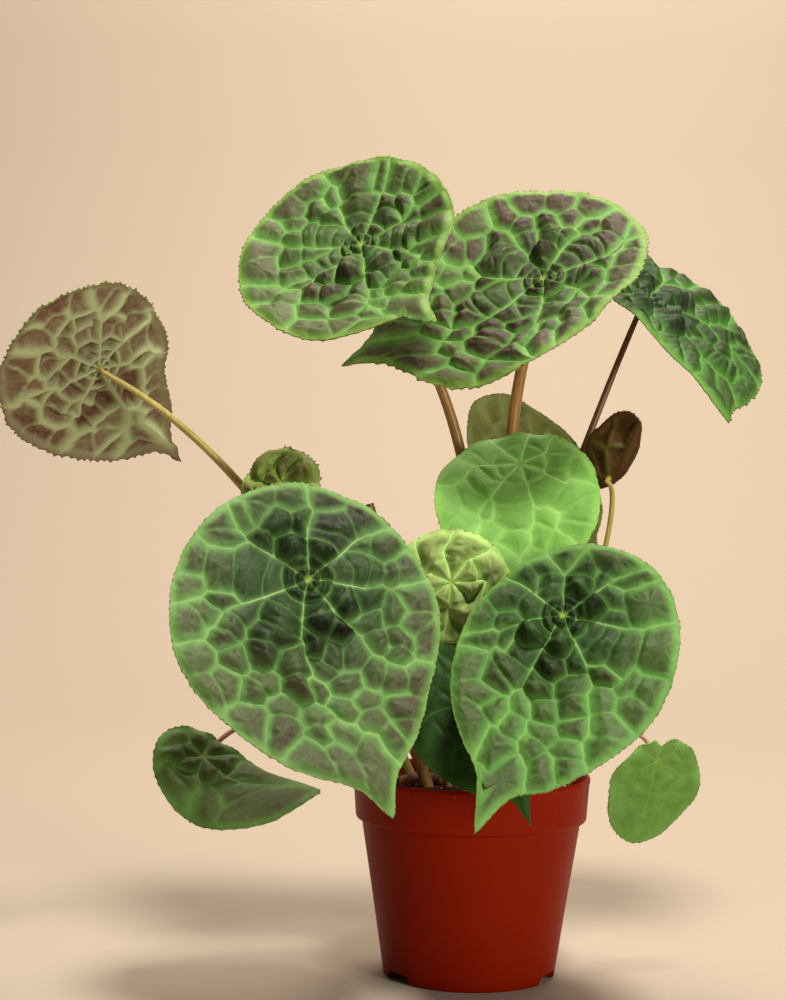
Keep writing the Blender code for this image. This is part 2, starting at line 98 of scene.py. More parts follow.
def finished(name, bm, materials):
    """A bmesh as a named object at the origin, shaded smooth."""
    mesh = bpy.data.meshes.new(name)
    bm.to_mesh(mesh)
    bm.free()
    mesh.shade_smooth()
    obj = bpy.data.objects.new(name, mesh)
    bpy.context.scene.collection.objects.link(obj)
    for material in materials:
        mesh.materials.append(material)
    return obj


FLOOR_WIDTH = 8.0
FLOOR_FRONT = -2.5
COVE_START = 0.9
COVE_RADIUS = 0.8
WALL_TOP = 3.5
paper, paper_tree, paper_shader = new_material("studio_paper", 0.9, 0.1)
paper_shader.inputs["Base Color"].default_value = linear("#a99e90")
bm = bmesh.new()
corners = [bm.verts.new((-FLOOR_WIDTH / 2, FLOOR_FRONT, 0)), bm.verts.new((FLOOR_WIDTH / 2, FLOOR_FRONT, 0))]
sweep = [bm.edges.new(corners)]
path = [(COVE_START, 0.0)]
path += [(COVE_START + COVE_RADIUS * math.sin(math.radians(a)), COVE_RADIUS * (1 - math.cos(math.radians(a))))
         for a in range(10, 91, 10)]
path += [(COVE_START + COVE_RADIUS, WALL_TOP)]
for y, z in path:
    grown = bmesh.ops.extrude_edge_only(bm, edges=sweep)["geom"]
    for vertex in (g for g in grown if isinstance(g, bmesh.types.BMVert)):
        vertex.co.y, vertex.co.z = y, z
    sweep = [g for g in grown if isinstance(g, bmesh.types.BMEdge)]
floor = finished("studio_floor", bm, [paper])

LIGHTS = (
    # name, place, aim, size, power in watts, colour
    ("key_light", (0.20, -0.52, 1.38), (0.0, 0.0, 0.20), 0.30, 24.0, "#fff6ea"),
    ("side_light", (0.95, -1.10, 0.35), (0.0, 0.0, 0.18), 0.45, 13.0, "#fff6ec"),
    ("backdrop_light", (0.1, 0.80, 1.9), (0.05, 1.7, 0.45), 1.4, 58.0, "#fff1e0"),
)
for name, place, aim, size, power, colour in LIGHTS:
    lamp = bpy.data.lights.new(name, "AREA")
    lamp.shape = "DISK"
    lamp.size = size
    lamp.energy = power
    lamp.color = linear(colour)[:3]
    holder = bpy.data.objects.new(name, lamp)
    bpy.context.scene.collection.objects.link(holder)
    holder.location = place
    holder.rotation_euler = (Vector(aim) - Vector(place)).to_track_quat("-Z", "Y").to_euler()
world = bpy.data.worlds.new("studio_air")
bpy.context.scene.world = world
world.use_nodes = True
world.node_tree.nodes["Background"].inputs["Color"].default_value = linear("#f1dfc8")
world.node_tree.nodes["Background"].inputs["Strength"].default_value = 0.09
bpy.context.scene.view_settings.view_transform = "Standard"


# Pot: a 10 cm nursery pot, injection moulded in terracotta-coloured polypropylene. One shell has a
# stepped-out rim band, a drained floor, and three drip notches in its foot.
POT_HEIGHT = 83.8 * MM
RIM_RADIUS = 50.0 * MM
BAND_BOTTOM = 65.2 * MM
BAND_RADIUS = 48.6 * MM
NECK_RADIUS = 45.9 * MM
FOOT_RADIUS = 36.0 * MM
POT_WALL = 1.3 * MM
FLOOR_RISE = 3.6 * MM
FLOOR_THICK = 1.6 * MM
FOOT_DISC_RADIUS = 21.0 * MM
FOOT_RING = 2.1 * MM
POT_SIDES = 144
EDGE_ROUND = 0.35 * MM
NOTCH_WIDTH = 15.0 * MM
NOTCH_HEIGHT = 3.9 * MM
NOTCH_ANGLES = (-54.0, 66.0, 186.0)
DRAIN_RADIUS = 3.4 * MM
DRAIN_COUNT = 6


def wall_radius(height):
    return FOOT_RADIUS + (NECK_RADIUS - FOOT_RADIUS) * height / BAND_BOTTOM


def spun(bm, profile, sides, closed):
    """A (radius, height) profile turned about Z."""
    points = [bm.verts.new((radius, 0, height)) for radius, height in profile]
    edges = [bm.edges.new(pair) for pair in zip(points, points[1:])]
    if closed:
        edges.append(bm.edges.new((points[-1], points[0])))
    bmesh.ops.spin(bm, geom=points + edges, cent=(0, 0, 0), axis=(0, 0, 1), angle=2 * math.pi, steps=sides,
                   use_merge=True, use_duplicate=False)
    bmesh.ops.remove_doubles(bm, verts=bm.verts, dist=1e-6)
    bmesh.ops.recalc_face_normals(bm, faces=bm.faces)


def around(radius, degrees, height):
    """A place round the pot, counted from the front towards +X."""
    turn = math.radians(degrees)
    return Vector((radius * math.sin(turn), -radius * math.cos(turn), height))


floor_top = FLOOR_RISE + FLOOR_THICK
pot_profile = (
    (0, 0),
    (FOOT_DISC_RADIUS, 0),
    (FOOT_DISC_RADIUS + 1.6 * MM, FLOOR_RISE),
    (FOOT_RADIUS - FOOT_RING - 0.5 * MM, FLOOR_RISE),
    (FOOT_RADIUS - FOOT_RING, 0),
    (FOOT_RADIUS - 1.2 * MM, 0),
    (FOOT_RADIUS - 0.5 * MM, 0.2 * MM),
    (wall_radius(0.9 * MM), 0.9 * MM),
    (wall_radius(5 * MM), 5 * MM),
    (wall_radius(35 * MM), 35 * MM),
    (NECK_RADIUS - 0.2 * MM, BAND_BOTTOM - 3.0 * MM),
    (NECK_RADIUS, BAND_BOTTOM - 0.3 * MM),
    (NECK_RADIUS + 0.3 * MM, BAND_BOTTOM),
    (BAND_RADIUS - 0.9 * MM, BAND_BOTTOM + 0.1 * MM),
    (BAND_RADIUS - 0.3 * MM, BAND_BOTTOM + 0.45 * MM),
    (BAND_RADIUS, BAND_BOTTOM + 1.1 * MM),
    (BAND_RADIUS + 0.15 * MM, BAND_BOTTOM + 3.0 * MM),
    (RIM_RADIUS - 0.35 * MM, POT_HEIGHT - 3.2 * MM),
    (RIM_RADIUS - 0.05 * MM, POT_HEIGHT - 2.2 * MM),
    (RIM_RADIUS, POT_HEIGHT - 0.9 * MM),
    (RIM_RADIUS - 0.25 * MM, POT_HEIGHT - 0.25 * MM),
    (RIM_RADIUS - 0.65 * MM, POT_HEIGHT),
    (RIM_RADIUS - POT_WALL + 0.35 * MM, POT_HEIGHT - 0.1 * MM),
    (RIM_RADIUS - POT_WALL, POT_HEIGHT - 0.5 * MM),
    (BAND_RADIUS - POT_WALL, BAND_BOTTOM + POT_WALL),
    (NECK_RADIUS - POT_WALL, BAND_BOTTOM - 0.6 * MM),
    (wall_radius(floor_top + 1.0 * MM) - POT_WALL, floor_top + 1.0 * MM),
    (FOOT_RADIUS - 2.6 * MM, floor_top),
    (FOOT_DISC_RADIUS + 3.4 * MM, floor_top),
    (FOOT_DISC_RADIUS + 1.0 * MM, FLOOR_THICK),
    (0, FLOOR_THICK),
)
bm = bmesh.new()
spun(bm, pot_profile, POT_SIDES, False)

# Polypropylene is satin, a little waxy and evenly tinted, with faint flow marks from the mould and dust
# and watering splashes near the rim.
plastic, tree, shader = new_material("moulded_terracotta_polypropylene", 0.45, 0.06)
place = add(tree, "ShaderNodeTexCoord")
flow = add(tree, "ShaderNodeTexNoise", {}, {"Vector": place.outputs["Object"], "Scale": 28.0, "Detail": 4.0})
tint = add(tree, "ShaderNodeMix", {"data_type": "RGBA"},
           {0: flow.outputs["Fac"], 6: linear("#7a1600"), 7: linear("#861a00")})
splash = add(tree, "ShaderNodeTexNoise", {}, {"Vector": place.outputs["Object"], "Scale": 420.0, "Detail": 3.0})
splash_edge = add(tree, "ShaderNodeValToRGB", {}, {"Fac": splash.outputs["Fac"]})
splash_edge.color_ramp.elements[0].position = 0.70
splash_edge.color_ramp.elements[1].position = 0.80
height = add(tree, "ShaderNodeSeparateXYZ", {}, {0: place.outputs["Object"]})
near_rim = add(tree, "ShaderNodeMapRange", {}, {0: height.outputs["Z"], 1: 0.064, 2: 0.078, 3: 0.0, 4: 0.55})
dust = add(tree, "ShaderNodeMath", {"operation": "MULTIPLY"},
           {0: splash_edge.outputs["Color"], 1: near_rim.outputs[0]})
dusty = add(tree, "ShaderNodeMix", {"data_type": "RGBA"},
            {0: dust.outputs[0], 6: tint.outputs[2], 7: linear("#b98a72")})
tree.links.new(dusty.outputs[2], shader.inputs["Base Color"])
grain = add(tree, "ShaderNodeTexNoise", {}, {"Vector": place.outputs["Object"], "Scale": 1400.0, "Detail": 2.0})
skin = add(tree, "ShaderNodeBump", {}, {"Strength": 0.25, "Distance": 0.05 * MM, "Height": grain.outputs["Fac"]})
tree.links.new(skin.outputs["Normal"], shader.inputs["Normal"])
gloss = add(tree, "ShaderNodeMapRange", {}, {0: flow.outputs["Fac"], 1: 0.3, 2: 0.7, 3: 0.4, 4: 0.5})
tree.links.new(gloss.outputs[0], shader.inputs["Roughness"])

pot = finished("nursery_pot", bm, [plastic])
cutters = []
for degrees in NOTCH_ANGLES:
    bm = bmesh.new()
    bmesh.ops.create_cube(bm, size=1.0)
    bmesh.ops.scale(bm, vec=(NOTCH_WIDTH, 8 * MM, 2 * NOTCH_HEIGHT), verts=bm.verts)
    upper = [e for e in bm.edges if all(v.co.z > 0 for v in e.verts)
             and e.verts[0].co.x * e.verts[1].co.x > 0 and abs(e.verts[0].co.y - e.verts[1].co.y) > 1 * MM]
    bmesh.ops.bevel(bm, geom=upper, offset=3.0 * MM, offset_type="OFFSET", segments=5, profile=0.5,
                    affect="EDGES", material=-1)
    bmesh.ops.rotate(bm, cent=(0, 0, 0), matrix=Matrix.Rotation(math.radians(degrees), 3, "Z"), verts=bm.verts)
    bmesh.ops.translate(bm, vec=around(FOOT_RADIUS + 1.0 * MM, degrees, 0), verts=bm.verts)
    cutters.append(bm)
for index in range(DRAIN_COUNT):
    bm = bmesh.new()
    bmesh.ops.create_cone(bm, cap_ends=True, segments=32, radius1=DRAIN_RADIUS, radius2=DRAIN_RADIUS, depth=8 * MM)
    degrees = NOTCH_ANGLES[0] + 360 / DRAIN_COUNT * index
    bmesh.ops.translate(bm, vec=around(FOOT_RADIUS - 7.6 * MM, degrees, FLOOR_RISE), verts=bm.verts)
    cutters.append(bm)
tools = [finished(f"pot_cutter_{index}", cutter, []) for index, cutter in enumerate(cutters)]
for tool in tools:
    hole = pot.modifiers.new(tool.name, "BOOLEAN")
    hole.operation = "DIFFERENCE"
    hole.object = tool
cut_mesh = bpy.data.meshes.new_from_object(pot.evaluated_get(bpy.context.evaluated_depsgraph_get()))
pot.modifiers.clear()
pot.data = cut_mesh
pot.data.name = "nursery_pot"
pot.data.set_sharp_from_angle(angle=math.radians(38))
for tool in tools:
    bpy.data.objects.remove(tool, do_unlink=True)
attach(pot, "root")
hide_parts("pot")


# Leaves: each is a shield-shaped blade on a stalk that joins it away from its edge. The blade is one thin
# fleshy sheet, quilted between its veins; it grew as one piece and turns its upper side to the light.
STALK_FOOT = 71.0 * MM
STALK_NECK = 2.0 * MM
BLADE_CAD_THICK = 0.8 * MM
SEAT_GAP = 0.3 * MM
NARROW_AT = 0.62
NARROW_SPREAD = 0.45
NOTCH_SPREAD = 0.22
TURN_SPREAD = 0.5
TIP_POINT = 1.35
RIM_WAVE = 0.9 * MM
RIM_WAVES = 7
BLADE_THICK = 0.55 * MM


def facing_frame(facing, rise, roll):
    """Blade axes: towards the tip, across to the left, and the upper side's normal."""
    turn, lift, spin = (math.radians(angle) for angle in (facing, rise, roll))
    normal = Vector((math.sin(turn) * math.cos(lift), -math.cos(turn) * math.cos(lift), math.sin(lift)))
    down = Vector((0, 0, -1))
    slope = (down - normal * down.dot(normal)).normalized()
    side = normal.cross(slope)
    tip_way = slope * math.cos(spin) + side * math.sin(spin)
    return tip_way, normal.cross(tip_way), normal


def rolled(along, height, curvature):
    """Points at a height above a flat strip, once the strip is bent to a circle's arc."""
    if abs(curvature) < 1e-6:
        return along, height
    radius = 1 / curvature + height
    return radius * np.sin(curvature * along), radius * np.cos(curvature * along) - 1 / curvature


class Leaf:
    """One leaf's form, in the same terms as its solid: see flat() and bent() for what each one does.

    puff scales the quilting, brown how strongly the cells' crowns are tinted, ragged is the length of the
    margin's teeth in millimetres, coarse enlarges the cells round the umbo, and finish names the colours.
    """

    def __init__(self, name, umbo, facing, rise, roll, width, offset=0.4, skew=0.0, stretch=1.1, narrow=0.05,
                 tip=0.3, spread=0.1, turn=0.0, notch=0.0, droop=0.0, fold=0.0, veins=7, foot=(0, 0),
                 lean=(0, 0, 60), reach=30, thick=(2.4, 1.7), puff=1.0, brown=1.0, finish="mature", bark="ochre",
                 ragged=0.45, coarse=1.0, main=None):
        self.name = name
        self.umbo = Vector(umbo) * MM
        self.axes = facing_frame(facing, rise, roll)
        self.half = width / 2 * MM
        self.outline = (offset, skew, stretch, narrow, tip, spread, turn, notch)
        self.droop = droop
        self.fold = fold
        self.foot = Vector((foot[0] * MM, foot[1] * MM, STALK_FOOT))
        self.lean = Vector(lean) * MM
        self.reach = reach * MM
        self.thick = [radius * MM for radius in thick]
        self.puff = puff
        self.brown = brown
        self.finish = finish
        self.bark = bark
        self.ragged = ragged
        self.coarse = coarse
        spread_evenly = [(360 / veins * k, 0) for k in range(veins)]
        self.main_veins = [tuple(math.radians(a) for a in pair) for pair in main or spread_evenly]

    def oval(self, angle):
        """The outline's distance from the umbo without its tip, for a blade of half width 1."""
        offset, skew, stretch, narrow = self.outline[:4]
        c, s = np.cos(angle), np.sin(angle)
        q = (c / stretch) ** 2 + s * s
        b = offset * c / stretch**2 + skew * s
        inside = b * b - q * ((offset / stretch) ** 2 + skew * skew - 1)
        radius = (b + np.sqrt(np.maximum(inside, 1e-6))) / q
        return radius * (1 - narrow * np.exp(-(((np.abs(angle) - NARROW_AT) / NARROW_SPREAD) ** 2)))

    def margin(self, angle):
        """How far the blade reaches in one direction, its tip left out."""
        return self.half * float(self.oval(turn_between(0.0, angle)))

    def flat(self, angle, share):
        """Flat blade points at angles from the tip and shares of the way out to the margin."""
        tip, spread, turn, notch = self.outline[4:]
        radius = self.oval(angle)
        radius = radius * (1 - notch * share**3 * np.exp(-(((np.abs(angle) - math.pi) / NOTCH_SPREAD) ** 2)))
        radius = radius + tip * share**5 * np.exp(-((np.abs(angle) / spread) ** TIP_POINT))
        turned = angle + turn * share**2 * np.exp(-((angle / TURN_SPREAD) ** 2))
        return np.cos(turned) * radius * share * self.half, np.sin(turned) * radius * share * self.half

    def bent(self, x, y, z):
        """Flat points and their heights on the drooping, folded blade, in the plant's frame."""
        y, z = rolled(y, z, self.fold)
        x, z = rolled(x, z, self.droop)
        tip_way, side, normal = (np.array(axis) for axis in self.axes)
        return np.array(self.umbo) + np.outer(x, tip_way) + np.outer(y, side) + np.outer(z, normal)


LEAVES = (
    Leaf("leaf_front_left", umbo=(-64, -75, 167.5), facing=19, rise=24.5, roll=5.5, width=107.5, offset=0.39,
         skew=-0.06, stretch=1.15, narrow=0.09, tip=0.30, spread=0.064, turn=0.15,
         foot=(-16, -11), lean=(-14, -2, 60), reach=26, thick=(2.6, 1.9),
         main=((0, -24), (34, -6), (74, 4), (122, 0), (170, 0), (228, 0), (283, 6))),
    Leaf("leaf_front_right", umbo=(34.5, -66, 155), facing=-9, rise=29.5, roll=-25, width=85, offset=0.47,
         skew=0.23, stretch=1.30, narrow=0.05, tip=0.51, spread=0.063, turn=0.16, droop=-1, fold=-2,
         foot=(14, -10), lean=(6, 2, 50), reach=28, thick=(2.5, 1.8), puff=0.9, finish="green"),
    Leaf("leaf_upper_left", umbo=(-49, -12, 305), facing=-25, rise=35, roll=21, width=96.5, offset=0.15,
         skew=-0.10, stretch=1.14, narrow=0.05, tip=0.59, spread=0.050, turn=0.40, droop=-4.8, fold=-8,
         foot=(-6, 9), lean=(25, 17, 155), reach=54, thick=(2.6, 2.0), puff=0.8, ragged=0.7, finish="high"),
    Leaf("leaf_upper_right", umbo=(27, -12, 291.5), facing=-21, rise=39, roll=-39, width=97.5, offset=0.24,
         skew=-0.11, stretch=1.25, narrow=0, tip=0.38, spread=0.072, turn=-0.40, droop=2.4, fold=-8,
         foot=(15, 6), lean=(-12, 17, 190), reach=10, thick=(2.8, 2.2), puff=0.8, brown=1.15, ragged=1.0,
         finish="high"),
    Leaf("leaf_far_left", umbo=(-157, -20, 251.5), facing=-128, rise=34, roll=-50, width=79, offset=0.15,
         skew=0.12, stretch=1.40, narrow=0.15, tip=0.43, spread=0.050, turn=-0.13, droop=1.7, fold=-9,
         foot=(-22, 8), lean=(-62, 15, 150), reach=9, thick=(2.4, 1.0), puff=1.1, ragged=1.2, finish="backlit",
         bark="olive"),
    # Its finish is darkened: painted shade against the light it faces.
    Leaf("leaf_far_right", umbo=(73, 24, 288), facing=51, rise=48.5, roll=13.5, width=91.5, offset=0.26,
         skew=0.30, stretch=1.04, narrow=0, tip=0.34, spread=0.132, turn=-0.35, droop=4.9, fold=-0.8,
         foot=(6, 15), lean=(-5, 0, 40), reach=8, thick=(2.2, 1.1), puff=1.0, ragged=0.8,
         finish="painted_shade_green", bark="dark"),
    Leaf("leaf_young_middle", umbo=(18.5, -9, 214.5), facing=-11, rise=40, roll=20, width=68, offset=0.51,
         skew=-0.16, stretch=1.07, narrow=0.01, tip=0.15, spread=0.122, turn=0.02, droop=8, fold=-5,
         foot=(14, -1), lean=(2, 6, 70), reach=25, thick=(2.0, 1.4), puff=0.24, brown=0.7, coarse=2.0,
         finish="young"),
    Leaf("leaf_young_curled", umbo=(-9, -40, 166), facing=0, rise=4, roll=-8, width=56, offset=0.35,
         stretch=1.12, tip=0.2, spread=0.14, droop=9, fold=10,
         foot=(0, -10), lean=(0, 0, 50), reach=15, thick=(1.7, 1.2), puff=1.1, brown=0.9, coarse=2.0, finish="lime"),
    # Its finish is darkened: painted shade, as it hangs in shade.
    Leaf("leaf_low_middle", umbo=(5.5, -54, 121), facing=-10, rise=25, roll=23, width=67, offset=0.15,
         stretch=1.08, tip=0.37, spread=0.055, droop=2, fold=3,
         foot=(6, -15), lean=(0, 0, 26), reach=14, thick=(1.8, 1.3), puff=0.28, brown=0.3, coarse=2.0,
         finish="pigment_and_painted_shade"),
    Leaf("leaf_back", umbo=(17.5, 62, 213.5), facing=135, rise=31, roll=-32, width=64.5, offset=0.19,
         skew=-0.30, stretch=1.25, narrow=0.03, tip=0.39, spread=0.127, droop=-1.2, fold=-0.8,
         foot=(-3, 18), lean=(0, 6, 80), reach=20, thick=(2.0, 1.4), puff=0.6, brown=0.3, finish="pale"),
    Leaf("leaf_small_red", umbo=(56, 4, 209), facing=160, rise=20, roll=212, width=23, offset=1.0,
         skew=-0.50, stretch=1.65, tip=0.10, spread=0.14, droop=-8, fold=-40, veins=6,
         foot=(23, 5), lean=(51, 8, 148), reach=8, thick=(1.3, 0.9), puff=0.6, brown=1.0, coarse=2.0, finish="red",
         bark="olive"),
    Leaf("leaf_small_crinkled", umbo=(-79.5, -28, 205), facing=-10, rise=22, roll=-28, width=33, offset=0.12,
         stretch=1.1, tip=0.2, spread=0.14, droop=12, fold=14, veins=6,
         foot=(-14, 9), lean=(-10, 0, 70), reach=20, thick=(1.5, 1.0), puff=1.8, ragged=1.0, coarse=1.3,
         finish="crinkled"),
    Leaf("leaf_low_left", umbo=(-107.5, -45, 94.5), facing=25, rise=40, roll=33, width=36, offset=0.44,
         skew=-0.30, stretch=1.40, narrow=0, tip=1.0, spread=0.55, turn=0.40, droop=-14, fold=14, veins=6,
         foot=(-27, -8), lean=(-61, -4, 71), reach=12, thick=(1.2, 0.9), puff=0.6, brown=0.9, coarse=2.0,
         finish="shaded", bark="pink"),
    Leaf("leaf_low_right", umbo=(76, -20, 93.5), facing=25, rise=-21, roll=-2, width=43, offset=0.65,
         skew=0.09, stretch=1.12, narrow=0.04, tip=0.05, spread=0.137, turn=-0.07, notch=0.35, droop=0.7,
         fold=0.7, veins=6, foot=(25, -7), lean=(47, -5, 54), reach=6, thick=(1.0, 0.7), puff=0.15,
         brown=0.0, coarse=2.5, finish="smooth", bark="pink"),
)

# Blade finishes: the thin leathery skin is satin. Green shows along the veins and the margin, and red-brown
# pigment in the crowns of the cells; the undersides are red or grey-green with pale raised veins. Towards the
# umbo the skin and crowns are darkened: partly pigment, partly painted shade of the deep ripples there.
FINISHES = {
    # blade green, its lighter variation, crown tint outwards and near the umbo, vein, margin, underside cells,
    # underside veins, how far the skin darkens towards the umbo; near the umbo the darkening is partly pigment and
    # partly painted shade
    "mature": ("#54803e", "#66934e", ("#423e2d", "#070904"), "#94c070", "#6c944f", "#6a3226", "#93a066", 0.42),
    "green": ("#4c7f34", "#5e9143", ("#394124", "#0a1006"), "#8ab864", "#629044", "#6a3226", "#93a066", 0.45),
    "high": ("#508236", "#659546", ("#453c2b", "#2b2418"), "#84b25a", "#73923e", "#6a3226", "#93a066", 0.12),
    # Painted shade: the far right leaf faces up into the light, so these greens are darkened against it.
    "painted_shade_green": ("#376822", "#487a32", ("#253012", "#0e1607"), "#74a24c", "#5e8e3a", "#6a3226", "#93a066", 0.35),
    "backlit": ("#5b8a3e", "#6e9c50", ("#3f3b2a", "#0c1007"), "#8ebb68", "#76a454", "#62332a", "#a9b684", 0.4),
    "young": ("#6aa441", "#7bb253", ("#568634", "#568634"), "#9fce78", "#74ac46", "#8fb06a", "#b4cf8e", 0.2),
    "lime": ("#8cb656", "#a4cc70", ("#7a8650", "#6c7244"), "#c4e492", "#9cc068", "#8f7a52", "#b9c184", 0.15),
    # Dark green with painted shade: the low middle leaf hangs in shade between the front leaves, and these colours are
    # darkened for it.
    "pigment_and_painted_shade": ("#1f4212", "#2c5519", ("#1c2a0e", "#141e0a"), "#3f6e2c", "#2f5a20", "#5d5a3a", "#86a067", 0.3),
    "crinkled": ("#6d8a38", "#86a048", ("#5a4e2a", "#4a3e20"), "#a8c468", "#809a44", "#6f5a34", "#a9b176", 0.15),
    "shaded": ("#56863a", "#6c984e", ("#4e4a2a", "#3e3c22"), "#78a458", "#628f44", "#5d5a3a", "#86a067", 0.35),
    "pale": ("#7d9a5c", "#8eab6a", ("#7a7e55", "#6a6e45"), "#a9c587", "#95b371", "#9bb268", "#a6bb78", 0.2),
    "red": ("#4a2818", "#5a3420", ("#35140e", "#280e0a"), "#6a4a2c", "#54241a", "#421409", "#5c5a22", 0.2),
    "smooth": ("#568432", "#669242", ("#568432", "#568432"), "#729f4a", "#6a9a46", "#7a9d5a", "#a9c587", 0.0),
}


def mixed(tree, factor, first, second):
    """The colour between two others, by a factor."""
    return add(tree, "ShaderNodeMix", {"data_type": "RGBA"}, {0: factor, 6: first, 7: second}).outputs[2]


def blade_skin(name, green, light, crown, vein, margin, dusk, brown, gloss):
    """A leaf skin whose colours follow the veins, crowns and margin that its mesh stores."""
    material, tree, shader = new_material(name, gloss, 0.22)
    place = add(tree, "ShaderNodeTexCoord").outputs["Object"]
    marks = {key: add(tree, "ShaderNodeAttribute", {"attribute_name": key}).outputs["Fac"]
             for key in ("vein", "crown", "rim", "lip", "umbo", "inner")}
    mottle = add(tree, "ShaderNodeTexNoise", {}, {"Vector": place, "Scale": 170.0, "Detail": 5.0}).outputs["Fac"]
    patch = add(tree, "ShaderNodeMapRange", {}, {0: mottle, 1: 0.35, 2: 0.65, 3: 0.0, 4: 1.0}).outputs[0]
    colour = mixed(tree, patch, linear(green), linear(light))
    # Pigment and painted shade: the colour is darkened towards the umbo, for the dark pigment there and the shade of
    # the deep ripples.
    pigment_and_painted_shade = add(tree, "ShaderNodeMath", {"operation": "MULTIPLY"}, {0: marks["inner"], 1: dusk}).outputs[0]
    colour = mixed(tree, pigment_and_painted_shade, colour, linear(crown[1]))
    net = add(tree, "ShaderNodeTexVoronoi", {"feature": "DISTANCE_TO_EDGE"},
              {"Vector": place, "Scale": 270.0}).outputs["Distance"]
    fine_net = add(tree, "ShaderNodeMapRange", {}, {0: net, 1: 0.0, 2: 0.16, 3: 0.88, 4: 1.0}).outputs[0]
    uneven = add(tree, "ShaderNodeMapRange", {}, {0: mottle, 1: 0.3, 2: 0.6, 3: 0.82 * brown, 4: brown}).outputs[0]
    tinted = add(tree, "ShaderNodeMath", {"operation": "MULTIPLY"}, {0: marks["crown"], 1: uneven}).outputs[0]
    tinted = add(tree, "ShaderNodeMath", {"operation": "MULTIPLY", "use_clamp": True},
                 {0: tinted, 1: fine_net}).outputs[0]
    # The crowns' tint turns near-black towards the umbo: pigment, and painted shade of the deep ripples.
    crown_pigment_and_shade = mixed(tree, marks["inner"], linear(crown[0]), linear(crown[1]))
    colour = mixed(tree, tinted, colour, crown_pigment_and_shade)
    colour = mixed(tree, marks["rim"], colour, linear(margin))
    colour = mixed(tree, marks["vein"], colour, linear(vein))
    colour = mixed(tree, marks["umbo"], colour, linear("#7f9a3c"))
    spots = add(tree, "ShaderNodeTexNoise", {}, {"Vector": place, "Scale": 600.0, "Detail": 2.0}).outputs["Fac"]
    red = add(tree, "ShaderNodeMapRange", {}, {0: spots, 1: 0.5, 2: 0.62, 3: 0.0, 4: 0.8}).outputs[0]
    lip = add(tree, "ShaderNodeMath", {"operation": "MULTIPLY"}, {0: marks["lip"], 1: red}).outputs[0]
    colour = mixed(tree, lip, colour, linear("#5e3322"))
    tree.links.new(colour, shader.inputs["Base Color"])
    pores = add(tree, "ShaderNodeTexVoronoi", {}, {"Vector": place, "Scale": 1500.0}).outputs["Distance"]
    creases = add(tree, "ShaderNodeTexNoise", {}, {"Vector": place, "Scale": 650.0, "Detail": 4.0}).outputs["Fac"]
    fine = add(tree, "ShaderNodeBump", {}, {"Strength": 0.25, "Distance": 0.06 * MM, "Height": pores})
    skin = add(tree, "ShaderNodeBump", {}, {"Strength": 0.4, "Distance": 0.2 * MM, "Height": creases,
                                            "Normal": fine.outputs["Normal"]})
    netted = add(tree, "ShaderNodeBump", {}, {"Strength": 0.5, "Distance": 0.5 * MM, "Height": fine_net,
                                              "Normal": skin.outputs["Normal"]})
    tree.links.new(netted.outputs["Normal"], shader.inputs["Normal"])
    shine = add(tree, "ShaderNodeMapRange", {}, {0: creases, 1: 0.3, 2: 0.7, 3: gloss - 0.06, 4: gloss + 0.1})
    tree.links.new(shine.outputs[0], shader.inputs["Roughness"])
    return material


def edge_skin(name, colour):
    """The blade's cut-thin edge and its fine reddish teeth."""
    material, tree, shader = new_material(name, 0.55)
    place = add(tree, "ShaderNodeTexCoord").outputs["Object"]
    speckle = add(tree, "ShaderNodeTexNoise", {}, {"Vector": place, "Scale": 420.0, "Detail": 3.0}).outputs["Fac"]
    teeth = add(tree, "ShaderNodeMapRange", {}, {0: speckle, 1: 0.52, 2: 0.64, 3: 0.0, 4: 0.9}).outputs[0]
    tree.links.new(mixed(tree, teeth, linear(colour), linear("#6b3a22")), shader.inputs["Base Color"])
    return material


# Veins: seven or so main ones run straight out from the umbo and fork part way. Between them the skin is
# divided into cells: short arcs round the umbo, rounded patches further out.
FIRST_CELL = 3.0 * MM
INNER_STEP = 3.2 * MM
OUTER_STEP = 10.0 * MM
CALM_FROM = 4.0 * MM
CALM_TO = 14.0 * MM
FORK_AT = 0.42
MIDRIB_FORK = 0.66
FORK_SPREAD = 0.24
CELL_JITTER = 0.19
EDGE_CELL = 4.2 * MM
OPEN_LEAST = 0.6 * MM
SEGMENT = 1.0 * MM
WARP = 0.9 * MM
WARP_SIZE = 8.0 * MM
MAIN, BRANCH, FAINT, CROSS = 3, 2, 1, 0
FAINT_SHARE = 0.75
FAINT_FROM = 9.0 * MM


def smooth_step(low, high, value):
    t = np.clip((value - low) / (high - low), 0, 1)
    return t * t * (3 - 2 * t)


def turn_between(a, b):
    """The angle from a to b, between minus and plus half a turn."""
    return (b - a + math.pi) % (2 * math.pi) - math.pi


def on_plain(angle, radius):
    return Vector((radius * math.cos(angle), radius * math.sin(angle), 0))


def heading(leaf, vein, radius):
    """The direction of a main vein at a distance from the umbo: they straighten as they run out."""
    angle, bow = leaf.main_veins[vein % len(leaf.main_veins)]
    return angle + bow * max(0.0, 1 - radius / leaf.margin(angle)) ** 1.5


